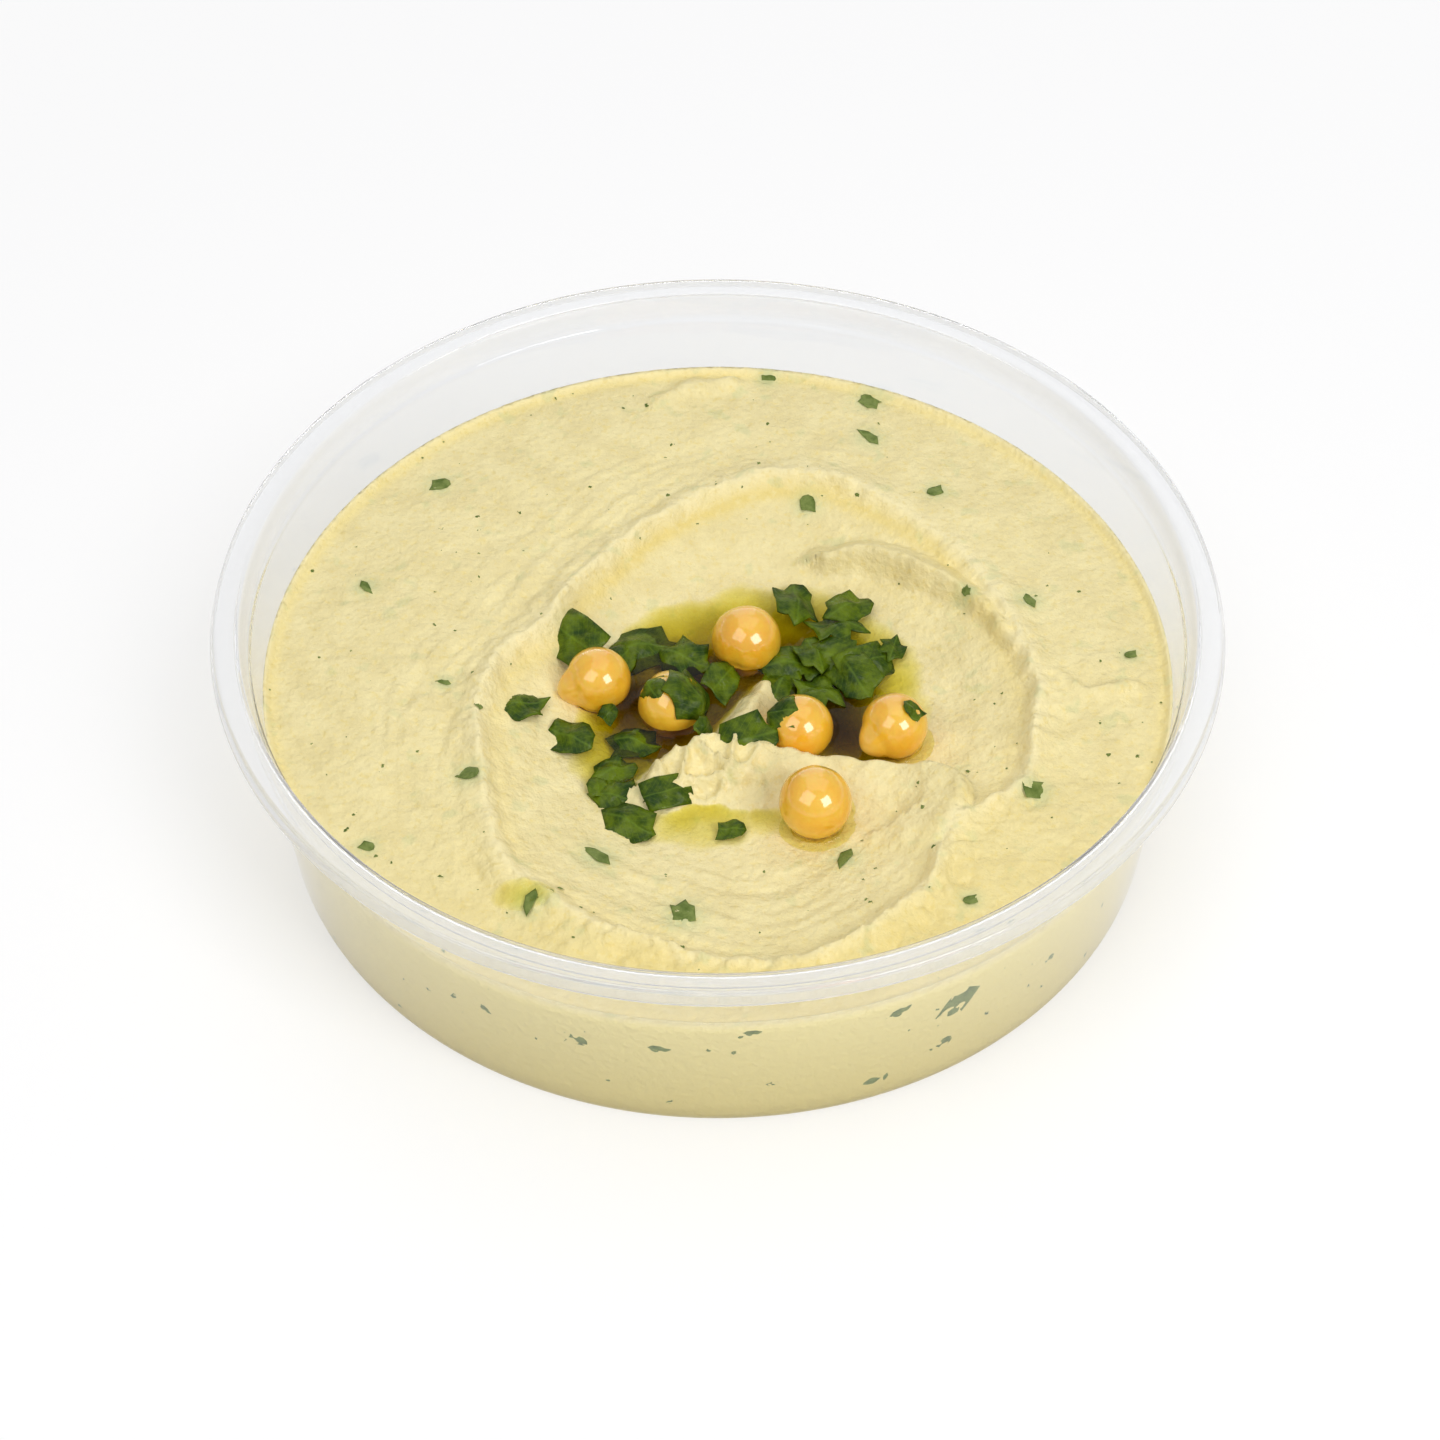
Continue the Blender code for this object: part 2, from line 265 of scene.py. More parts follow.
def set_kinds(thing: bpy.types.Object, kinds: Sequence[int]) -> None:
    """Store which kind of piece each vertex of an object carries."""
    layer = thing.data.attributes.new("kind", 'INT', 'POINT')
    layer.data.foreach_set("value", np.asarray(kinds, np.int32))


def ring_faces(rings: int, count: int, first: int = 0) -> Array:
    """Return the quads between rings of vertices that follow each other outwards.

    Args:
        rings: how many rings there are.
        count: vertices in each ring.
        first: number of the first vertex.

    Returns:
        An array of quads, facing up when the rings run anticlockwise.
    """
    k = np.arange(count)
    m = (k + 1) % count
    quads = []
    for i in range(rings - 1):
        near = first + i * count
        far = near + count
        quads.append(np.stack([near + k, far + k, far + m, near + m], axis=1))
    return np.concatenate(quads)


def disc_grid(radius: float, cells: int) -> tuple[Array, Array, Array, Array]:
    """Lay an even grid over a disc.

    Args:
        radius: of the disc.
        cells: squares along each side of the grid before it is rounded.

    Returns:
        The x and y of the vertices, the quads, and the vertex numbers round the edge.
    """
    steps = np.linspace(-1.0, 1.0, cells + 1)
    a, b = (g.ravel() for g in np.meshgrid(steps, steps, indexing="ij"))
    wide = np.abs(a) > np.abs(b)
    reach = np.where(wide, a, b)
    safe = np.where(reach == 0.0, 1.0, reach)
    turn = np.where(wide, b / safe, 2.0 - a / safe) * math.pi / 4.0
    row = cells + 1
    i, j = (g.ravel() for g in np.meshgrid(np.arange(cells), np.arange(cells), indexing="ij"))
    first = i * row + j
    quads = np.stack([first, first + row, first + row + 1, first + 1], axis=1)
    k = np.arange(cells)
    edge = np.concatenate([k * row, cells * row + k, (cells - k) * row + cells, cells - k])
    return radius * reach * np.cos(turn), radius * reach * np.sin(turn), quads, edge


def declare(piece: bpy.types.Object, replaced: Sequence[str] = ()) -> None:
    """Tell the frame what a finished piece rides on and stands for, and log it.

    Args:
        piece: the finished object.
        replaced: the solids that it stands for.
    """
    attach(piece, BODY)
    if replaced:
        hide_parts(*replaced)
    size = piece.dimensions / MM
    LOG.info("%s: %d faces, %.1f x %.1f x %.1f mm", piece.name, len(piece.data.polygons),
             size.x, size.y, size.z)


# ---------------------------------------------------------------- node helpers

class NodeSheet:
    """A thin wrapper that adds nodes to a tree and links them."""

    def __init__(self, tree: bpy.types.NodeTree) -> None:
        """Keep the tree."""
        self.tree = tree

    def add(self, kind: str, inputs: Optional[dict] = None, **settings: object) -> bpy.types.Node:
        """Add a node.

        Args:
            kind: the node's type name.
            inputs: for socket names or numbers, a value or another node's output.
            settings: the node's own properties.

        Returns:
            The new node.
        """
        node = self.tree.nodes.new(kind)
        for key, value in settings.items():
            setattr(node, key, value)
        for key, value in (inputs or {}).items():
            if isinstance(value, bpy.types.NodeSocket):
                self.tree.links.new(value, node.inputs[key])
            else:
                node.inputs[key].default_value = value
        return node

    def maths(self, operation: str, *values: object, clamp: bool = False) -> bpy.types.NodeSocket:
        """Return the output of a Math node.

        Args:
            operation: the node's operation.
            values: numbers or sockets for its inputs, in order.
            clamp: whether the result is held from 0 to 1.

        Returns:
            The output socket.
        """
        node = self.add("ShaderNodeMath", dict(enumerate(values)), operation=operation)
        node.use_clamp = clamp
        return node.outputs[0]

    def ramp(self, value: bpy.types.NodeSocket, low: float, high: float, start: float = 0.0,
             end: float = 1.0) -> bpy.types.NodeSocket:
        """Return a value carried smoothly from one range to another.

        Args:
            value: the socket that gives it.
            low, high: the range that it comes from.
            start, end: the range that it goes to.

        Returns:
            The output socket.
        """
        node = self.add("ShaderNodeMapRange", {"Value": value, "From Min": low, "From Max": high,
                                               "To Min": start, "To Max": end})
        node.interpolation_type = 'SMOOTHSTEP'
        return node.outputs[0]

    def mix(self, factor: object, a: object, b: object, blend: str = 'MIX') -> bpy.types.NodeSocket:
        """Return a mix of two colours.

        Args:
            factor: the share of the second colour, as a number or a socket.
            a, b: the colours, as linear colours or sockets.
            blend: how they are mixed.

        Returns:
            The output socket.
        """
        node = self.add("ShaderNodeMix", data_type='RGBA', blend_type=blend)
        for number, value in ((0, factor), (6, a), (7, b)):
            if isinstance(value, bpy.types.NodeSocket):
                self.tree.links.new(value, node.inputs[number])
            elif number == 0:
                node.inputs[0].default_value = value
            else:
                node.inputs[number].default_value = (*value, 1.0)
        return node.outputs[2]

    def attribute(self, name: str) -> bpy.types.NodeSocket:
        """Return the value of a vertex attribute."""
        return self.add("ShaderNodeAttribute", attribute_name=name).outputs["Fac"]

    def noise(self, vector: bpy.types.NodeSocket, scale: float, detail: float = 2.0,
              roughness: float = 0.5) -> bpy.types.NodeSocket:
        """Return noise at a vector, with so many patches to a millimetre."""
        return self.add("ShaderNodeTexNoise", {"Vector": vector, "Scale": scale / MM,
                                               "Detail": detail, "Roughness": roughness}).outputs[0]


def new_material(name: str) -> tuple[bpy.types.Material, NodeSheet, bpy.types.Node]:
    """Make a bare material.

    Args:
        name: the material's name.

    Returns:
        The material, its node sheet and its output node.
    """
    material = bpy.data.materials.new(name)
    material.use_nodes = True
    material.node_tree.nodes.clear()
    sheet = NodeSheet(material.node_tree)
    return material, sheet, sheet.add("ShaderNodeOutputMaterial")


def moist_group() -> bpy.types.NodeTree:
    """Return the shared effect of a moist surface: patches of two tints, uneven gloss, faint relief.

    Returns:
        The node group. Inputs: Vector, Tint A, Tint B, Patch Scale, Grain Scale, Rough Low and
        Rough High. Outputs: Color, Roughness and Height.
    """
    name = "moist surface"
    if name in bpy.data.node_groups:
        return bpy.data.node_groups[name]
    group = bpy.data.node_groups.new(name, 'ShaderNodeTree')
    face = group.interface
    for label, kind in (("Vector", 'NodeSocketVector'), ("Tint A", 'NodeSocketColor'),
                        ("Tint B", 'NodeSocketColor'), ("Patch Scale", 'NodeSocketFloat'),
                        ("Grain Scale", 'NodeSocketFloat'), ("Rough Low", 'NodeSocketFloat'),
                        ("Rough High", 'NodeSocketFloat')):
        face.new_socket(label, in_out='INPUT', socket_type=kind)
    for label, kind in (("Color", 'NodeSocketColor'), ("Roughness", 'NodeSocketFloat'),
                        ("Height", 'NodeSocketFloat')):
        face.new_socket(label, in_out='OUTPUT', socket_type=kind)
    sheet = NodeSheet(group)
    given = sheet.add("NodeGroupInput").outputs
    patches = sheet.add("ShaderNodeTexNoise", {
        "Vector": given["Vector"], "Scale": given["Patch Scale"], "Detail": 5.0,
        "Roughness": 0.66}).outputs[0]
    grain = sheet.add("ShaderNodeTexNoise", {
        "Vector": given["Vector"], "Scale": given["Grain Scale"], "Detail": 3.0,
        "Roughness": 0.55}).outputs[0]
    share = sheet.ramp(patches, 0.32, 0.68)
    tint = sheet.mix(share, given["Tint A"], given["Tint B"])
    rough = sheet.add("ShaderNodeMapRange", {"Value": patches, "From Min": 0.3, "From Max": 0.7,
                                             "To Min": given["Rough Low"],
                                             "To Max": given["Rough High"]}).outputs[0]
    out = sheet.add("NodeGroupOutput")
    group.links.new(tint, out.inputs["Color"])
    group.links.new(rough, out.inputs["Roughness"])
    group.links.new(grain, out.inputs["Height"])
    return group


@dataclass(frozen=True)
class MoistFinish:
    """The look of a moist food: two tints in patches, and gloss that varies a little.

    Attributes:
        name: the material's name.
        tint_a, tint_b: the two linear tints.
        patch: how many patches of tint there are to a millimetre.
        grain: how many grains there are to a millimetre.
        rough: the lowest and the highest roughness.
        relief: how far the grain stands up, in millimetres.
        coat: weight of a wet film over it.
        subsurface: how much light passes under the skin.
        ior: refractive index, which sets how strong its shine is.
    """

    name: str
    tint_a: Colour
    tint_b: Colour
    patch: float = 0.15
    grain: float = 1.0
    rough: tuple[float, float] = (0.4, 0.6)
    relief: float = 0.03
    coat: float = 0.0
    subsurface: float = 0.0
    ior: float = 1.42

    def start(self) -> tuple[bpy.types.Material, NodeSheet, bpy.types.Node, bpy.types.Node,
                             bpy.types.NodeSocket]:
        """Build the common part of the material.

        Returns:
            The material, its sheet, the shader, the moist group's node and the Object coordinates.
        """
        material, sheet, output = new_material(self.name)
        place = sheet.add("ShaderNodeTexCoord").outputs["Object"]
        moist = sheet.add("ShaderNodeGroup", node_tree=moist_group())
        sheet.tree.links.new(place, moist.inputs["Vector"])
        moist.inputs["Tint A"].default_value = (*self.tint_a, 1.0)
        moist.inputs["Tint B"].default_value = (*self.tint_b, 1.0)
        moist.inputs["Patch Scale"].default_value = self.patch / MM
        moist.inputs["Grain Scale"].default_value = self.grain / MM
        moist.inputs["Rough Low"].default_value = self.rough[0]
        moist.inputs["Rough High"].default_value = self.rough[1]
        bump = sheet.add("ShaderNodeBump", {"Height": moist.outputs["Height"], "Strength": 1.0,
                                            "Distance": self.relief * MM})
        shader = sheet.add("ShaderNodeBsdfPrincipled", {
            "Base Color": moist.outputs["Color"], "Roughness": moist.outputs["Roughness"],
            "Normal": bump.outputs["Normal"], "IOR": self.ior, "Coat Weight": self.coat,
            "Coat Roughness": 0.05, "Coat IOR": 1.75, "Subsurface Weight": self.subsurface,
            "Subsurface Scale": 1.5 * MM})
        sheet.tree.links.new(shader.outputs["BSDF"], output.inputs["Surface"])
        return material, sheet, shader, moist, place

    def make(self) -> bpy.types.Material:
        """Return the finished material."""
        return self.start()[0]


@dataclass(frozen=True)
class Mottle:
    """Soft spots of one tint.

    Attributes:
        tint: their linear colour.
        per_mm: how many there are to a millimetre.
        detail: how many finer layers they have.
        low, high: the noise where they begin and where they are fullest.
        most: how strong they are there.
    """

    tint: Colour
    per_mm: float
    detail: float
    low: float
    high: float
    most: float

    def over(self, sheet: NodeSheet, place: bpy.types.NodeSocket,
             colour: bpy.types.NodeSocket) -> bpy.types.NodeSocket:
        """Return a colour with the spots laid over it."""
        spots = sheet.ramp(sheet.noise(place, self.per_mm, self.detail), self.low, self.high, 0.0,
                           self.most)
        return sheet.mix(spots, colour, self.tint)


@dataclass(frozen=True)
class HummusFinish(MoistFinish):
    """Hummus: moist paste with a painted highlight on its crests and edge, painted shade in its
    creases, deeper against the wall.

    Attributes:
        crease, rim, edge, crest, green: tints of the painted shade in its creases, of the band by
            the wall, of the painted highlight on its outermost edge and ridge lines, of its pale
            grain and round the herb flecks.
        side_top, side_low: tints behind the wall, at the top and at the foot.
        marks: for each vertex attribute, how strongly its tint is laid on.
        mottles: the spots in the paste.
        side_blend: how far down the side its own tint takes to come in.
        wet: how much smoother the paste is under a film of oil.
    """

    name: str = "hummus paste"
    tint_a: Colour = linear(236, 220, 160)
    tint_b: Colour = linear(247, 233, 176)
    # Deeper yellow laid on as painted shade in the creases; also used for one of the random mottles.
    crease: Colour = linear(238, 214, 124)
    rim: Colour = linear(248, 228, 150)
    # Pale tint laid on as a painted highlight along the crests and where the paste meets the wall.
    edge: Colour = linear(255, 242, 190)
    crest: Colour = linear(248, 232, 170)
    side_top: Colour = linear(248, 232, 160)
    side_low: Colour = linear(218, 200, 122)
    green: Colour = linear(196, 206, 150)
    patch: float = 0.2
    grain: float = 0.9
    rough: tuple[float, float] = (0.34, 0.56)
    relief: float = 0.36
    # The crest mark is a painted highlight of the pale edge tint along the ridge lines, the crease
    # mark is painted shade, and the edge mark is a painted highlight where the paste meets the wall.
    marks: tuple[tuple[str, float, Colour], ...] = (
        ("crest", 0.7, edge), ("crease", 0.6, crease), ("rim", 0.6, rim), ("edge", 0.9, edge),
        ("green", 0.8, green))
    # Random spots of tone; the second uses the same tint as the painted crease shade.
    mottles: tuple[Mottle, ...] = (Mottle(crest, 0.85, 3.0, 0.5, 0.7, 0.5),
                                   Mottle(crease, 1.25, 3.0, 0.52, 0.72, 0.4),
                                   Mottle(green, 0.3, 2.0, 0.60, 0.72, 0.3))
    side_blend: float = 0.06
    wet: float = 0.16

    def make(self) -> bpy.types.Material:
        """Build the material.

        Returns:
            The finished material.
        """
        material, sheet, shader, moist, place = self.start()
        colour = moist.outputs["Color"]
        # Lays on the marks, among them the painted highlight on crests and edge and the painted
        # shade in creases.
        for mark, share, tint in self.marks:
            colour = sheet.mix(sheet.maths('MULTIPLY', sheet.attribute(mark), share), colour, tint)
        for mottle in self.mottles:
            colour = mottle.over(sheet, place, colour)
        side = sheet.attribute("side")
        wall = sheet.mix(side, self.side_top, self.side_low)
        colour = sheet.mix(sheet.ramp(side, 0.0, self.side_blend), colour, wall)
        sheet.tree.links.new(colour, shader.inputs["Base Color"])
        rough = sheet.maths('SUBTRACT', moist.outputs["Roughness"],
                            sheet.maths('MULTIPLY', sheet.attribute("film"), self.wet))
        sheet.tree.links.new(rough, shader.inputs["Roughness"])
        return material


@dataclass(frozen=True)
class ClearPlasticFinish:
    """Clear thermoformed plastic that lets shadow and bounced light straight through.

    Attributes:
        name: the material's name.
        tint, edge_tint: what it does to light seen straight through it and along it.
        edge_power: how sharply the second takes over.
        milk: colour of its faint veil.
        haze: weight of the veil in the wall and in the flange.
        haze_rise: the heights, in metres, between which it thickens.
        roughness: of the shine.
        ior: refractive index.
        passing: share of shadow and bounced light that it lets through.
    """

    name: str = "clear plastic"
    tint: Colour = (0.92, 0.93, 0.945)
    edge_tint: Colour = (0.80, 0.80, 0.81)
    edge_power: float = 3.0
    milk: Colour = (0.95, 0.95, 0.96)
    haze: tuple[float, float] = (0.02, 0.22)
    haze_rise: tuple[float, float] = (0.028, 0.0315)
    roughness: float = 0.02
    ior: float = 1.5
    passing: float = 0.985

    def make(self) -> bpy.types.Material:
        """Build the material.

        Returns:
            The finished material.
        """
        material, sheet, output = new_material(self.name)
        facing = sheet.add("ShaderNodeLayerWeight", {"Blend": 0.5}).outputs["Facing"]
        tint = sheet.mix(sheet.maths('POWER', facing, self.edge_power), self.tint, self.edge_tint)
        clear = sheet.add("ShaderNodeBsdfPrincipled", {
            "Base Color": tint, "Roughness": self.roughness, "IOR": self.ior,
            "Transmission Weight": 1.0})
        milky = sheet.add("ShaderNodeBsdfDiffuse", {"Color": (*self.milk, 1.0)})
        place = sheet.add("ShaderNodeTexCoord").outputs["Object"]
        height = sheet.add("ShaderNodeSeparateXYZ", {0: place}).outputs[2]
        haze = sheet.ramp(height, *self.haze_rise, *self.haze)
        glass = sheet.add("ShaderNodeMixShader", {0: haze, 1: clear.outputs[0],
                                                  2: milky.outputs[0]})
        passing = sheet.add("ShaderNodeBsdfTransparent", {"Color": (*(self.passing,) * 3, 1.0)})
        path = sheet.add("ShaderNodeLightPath").outputs
        through = sheet.maths('MAXIMUM', path["Is Shadow Ray"], path["Is Diffuse Ray"])
        blend = sheet.add("ShaderNodeMixShader", {0: through, 1: glass.outputs[0],
                                                  2: passing.outputs[0]})
        sheet.tree.links.new(blend.outputs[0], output.inputs["Surface"])
        return material


@dataclass(frozen=True)
class OilFinish:
    """Olive oil: clear, tinting what lies beneath it more the deeper it is, with a wet shine.

    Attributes:
        through: what part of red, green and blue light passes through a millimetre.
        strength: how much deeper the oil is taken to be than it is.
        ior: its refractive index, which sets the shine.
        roughness: of the shine.
    """

    name: str = "olive oil"
    through: Colour = (0.71, 0.665, 0.12)
    strength: float = 0.86
    ior: float = 1.22
    roughness: float = 0.04

    def make(self) -> bpy.types.Material:
        """Build the material.

        Returns:
            The finished material.
        """
        material, sheet, output = new_material(self.name)
        depth = sheet.maths('MULTIPLY', sheet.attribute("depth"), self.strength)
        passed = sheet.add("ShaderNodeCombineColor",
                           {k: sheet.maths('POWER', part, depth)
                            for k, part in enumerate(self.through)})
        body = sheet.add("ShaderNodeBsdfTransparent", {"Color": passed.outputs[0]})
        shine = sheet.add("ShaderNodeBsdfGlossy", {"Color": (1.0, 1.0, 1.0, 1.0),
                                                   "Roughness": self.roughness})
        edge = sheet.add("ShaderNodeFresnel", {"IOR": self.ior})
        back = sheet.add("ShaderNodeNewGeometry").outputs["Backfacing"]
        share = sheet.maths('MULTIPLY', edge.outputs[0], sheet.maths('SUBTRACT', 1.0, back))
        blend = sheet.add("ShaderNodeMixShader", {0: share, 1: body.outputs[0],
                                                  2: shine.outputs[0]})
        sheet.tree.links.new(blend.outputs[0], output.inputs["Surface"])
        return material


@dataclass(frozen=True)
class ChickpeaFinish(MoistFinish):
    """A cooked chickpea: golden tan skin, paler at the beak, wet with oil."""

    name: str = "chickpea skin"
    tint_a: Colour = linear(250, 197, 54)
    tint_b: Colour = linear(244, 178, 32)
    pale: Colour = linear(248, 204, 96)
    patch: float = 0.22
    grain: float = 0.7
    rough: tuple[float, float] = (0.3, 0.42)
    relief: float = 0.06
    coat: float = 0.9
    subsurface: float = 0.15

    def make(self) -> bpy.types.Material:
        """Build the material.

        Returns:
            The finished material.
        """
        material, sheet, shader, moist, _ = self.start()
        colour = sheet.mix(sheet.attribute("beak"), moist.outputs["Color"], self.pale)
        sheet.tree.links.new(colour, shader.inputs["Base Color"])
        return material


@dataclass(frozen=True)
class LeafFinish(MoistFinish):
    """Chopped parsley: dark green with paler veins and small wet glints.

    Attributes:
        vein: tint of the veins.
        vein_share: how strongly they are laid on.
        vein_slope: how steeply the side veins run, and how many there are.
        midrib_width, side_width: half widths of the midrib and of a side vein.
    """

    name: str = "parsley leaf"
    tint_a: Colour = linear(98, 118, 14)
    tint_b: Colour = linear(30, 58, 4)
    vein: Colour = linear(120, 150, 50)
    patch: float = 0.35
    grain: float = 1.6
    rough: tuple[float, float] = (0.22, 0.42)
    relief: float = 0.12
    ior: float = 1.27
    vein_share: float = 0.3
    vein_slope: float = 4.5
    midrib_width: float = 0.07
    side_width: float = 0.09

    def make(self) -> bpy.types.Material:
        """Build the material.

        Returns:
            The finished material.
        """
        material, sheet, shader, moist, _ = self.start()
        flat = sheet.add("ShaderNodeUVMap", uv_map="leaf").outputs[0]
        split = sheet.add("ShaderNodeSeparateXYZ", {0: flat}).outputs
        aside = sheet.maths('ABSOLUTE', split[1])
        midrib = sheet.ramp(aside, 0.0, self.midrib_width, 1.0, 0.0)
        run = sheet.maths('SUBTRACT', sheet.maths('MULTIPLY', aside, self.vein_slope),
                          sheet.maths('MULTIPLY', split[0], self.vein_slope))
        near = sheet.maths('ABSOLUTE', sheet.maths('SUBTRACT', sheet.maths('FRACT', run), 0.5))
        side_veins = sheet.ramp(near, 0.0, self.side_width, 0.7, 0.0)
        share = sheet.maths('MULTIPLY', sheet.maths('MAXIMUM', midrib, side_veins), self.vein_share)
        colour = sheet.mix(share, moist.outputs["Color"], self.vein)
        sheet.tree.links.new(colour, shader.inputs["Base Color"])
        return material


# ---------------------------------------------------------------- geometry node trees

class GeometrySheet(NodeSheet):
    """Builds a Geometry Nodes tree with named inputs, and turns its result into a plain mesh."""

    def __init__(self, name: str, inputs: Sequence[tuple[str, str, object]]) -> None:
        """Make the tree.

        Args:
            name: the tree's name.
            inputs: for each input its label, socket type and default value, or None.
        """
        super().__init__(bpy.data.node_groups.new(name, 'GeometryNodeTree'))
        face = self.tree.interface
        face.new_socket("Geometry", in_out='INPUT', socket_type='NodeSocketGeometry')
        face.new_socket("Geometry", in_out='OUTPUT', socket_type='NodeSocketGeometry')
        for label, kind, value in inputs:
            item = face.new_socket(label, in_out='INPUT', socket_type=kind)
            if value is not None:
                item.default_value = value
        self.given = self.add("NodeGroupInput").outputs
        self.result = self.add("NodeGroupOutput")

    def finish(self, geometry: bpy.types.NodeSocket) -> None:
        """End the tree: realise instances, set the material, and output.

        Args:
            geometry: what the tree has made.
        """
        real = self.add("GeometryNodeRealizeInstances", {0: geometry})
        dressed = self.add("GeometryNodeSetMaterial", {"Geometry": real.outputs[0],
                                                       "Material": self.given["Material"]})
        self.tree.links.new(dressed.outputs[0], self.result.inputs[0])

    def apply(self, thing: bpy.types.Object, values: dict[str, object]) -> bpy.types.Object:
        """Run the tree on an object and keep its result as the object's plain mesh.

        Args:
            thing: the object.
            values: a value for each named input.

        Returns:
            The same object with its new mesh.
        """
        modifier = thing.modifiers.new(self.tree.name, 'NODES')
        modifier.node_group = self.tree
        for item in self.tree.interface.items_tree:
            if item.item_type == 'SOCKET' and item.in_out == 'INPUT' and item.name in values:
                modifier[item.identifier] = values[item.name]
        bpy.context.view_layer.update()
        graph = bpy.context.evaluated_depsgraph_get()
        made = bpy.data.meshes.new_from_object(thing.evaluated_get(graph), depsgraph=graph)
        thing.modifiers.remove(modifier)
        old = thing.data
        thing.data = made
        name = old.name
        bpy.data.meshes.remove(old)
        made.name = name
        return thing


def lathe_tree() -> GeometrySheet:
    """Return a tree that turns a row of (radius, 0, height) points about the Z axis.

    Returns:
        A tree that turns a row of (radius, 0, height) points about the Z axis.
    """
    sheet = GeometrySheet("turned profile", (("Profile Count", 'NodeSocketInt', 8),
                                             ("Segments", 'NodeSocketInt', 64),
                                             ("Material", 'NodeSocketMaterial', None)))
    count = sheet.given["Profile Count"]
    segments = sheet.given["Segments"]
    columns = sheet.maths('ADD', segments, 1.0)
    grid = sheet.add("GeometryNodeMeshGrid", {"Vertices X": columns, "Vertices Y": count})
    index = sheet.add("GeometryNodeInputIndex").outputs[0]
    column = sheet.maths('FLOOR', sheet.maths('DIVIDE', sheet.maths('ADD', index, 0.5), count))
    row = sheet.maths('SUBTRACT', index, sheet.maths('MULTIPLY', column, count))
    position = sheet.add("GeometryNodeInputPosition").outputs[0]
    sample = sheet.add("GeometryNodeSampleIndex", data_type='FLOAT_VECTOR', domain='POINT')
    sheet.tree.links.new(sheet.given["Geometry"], sample.inputs["Geometry"])
    sheet.tree.links.new(position, sample.inputs["Value"])
    sheet.tree.links.new(row, sample.inputs["Index"])
    point = sheet.add("ShaderNodeSeparateXYZ", {0: sample.outputs[0]}).outputs
    turn = sheet.maths('DIVIDE', sheet.maths('MULTIPLY', column, math.tau), segments)
    place = sheet.add("ShaderNodeCombineXYZ", {
        0: sheet.maths('MULTIPLY', point[0], sheet.maths('COSINE', turn)),
        1: sheet.maths('MULTIPLY', point[0], sheet.maths('SINE', turn)), 2: point[2]})
    moved = sheet.add("GeometryNodeSetPosition", {"Geometry": grid.outputs["Mesh"],
                                                  "Position": place.outputs[0]})
    closed = sheet.add("GeometryNodeMergeByDistance", {"Geometry": moved.outputs[0],
                                                       "Distance": 0.002 * MM})
    smooth = sheet.add("GeometryNodeSetShadeSmooth", {"Geometry": closed.outputs[0]})
    sheet.finish(smooth.outputs[0])
    return sheet


def placing_tree() -> GeometrySheet:
    """Return a tree that puts a chosen kind of piece on each point, by its turn, size and kind.

    Returns:
        A tree that puts a chosen kind of piece on each point, by its turn, size and kind.
    """
    sheet = GeometrySheet("placed pieces", (("Kinds", 'NodeSocketCollection', None),
                                            ("Material", 'NodeSocketMaterial', None)))
    kinds = sheet.add("GeometryNodeCollectionInfo", {"Collection": sheet.given["Kinds"],
                                                     "Separate Children": True,
                                                     "Reset Children": True})
    turn = sheet.add("GeometryNodeInputNamedAttribute", {"Name": "turn"}, data_type='FLOAT_VECTOR')
    size = sheet.add("GeometryNodeInputNamedAttribute", {"Name": "size"}, data_type='FLOAT_VECTOR')
    kind = sheet.add("GeometryNodeInputNamedAttribute", {"Name": "kind"}, data_type='INT')
    spin = sheet.add("FunctionNodeEulerToRotation", {0: turn.outputs[0]})
    placed = sheet.add("GeometryNodeInstanceOnPoints", {
        "Points": sheet.given["Geometry"], "Instance": kinds.outputs[0], "Pick Instance": True,
        "Instance Index": kind.outputs[0], "Rotation": spin.outputs[0], "Scale": size.outputs[0]})
    sheet.finish(placed.outputs[0])
    return sheet


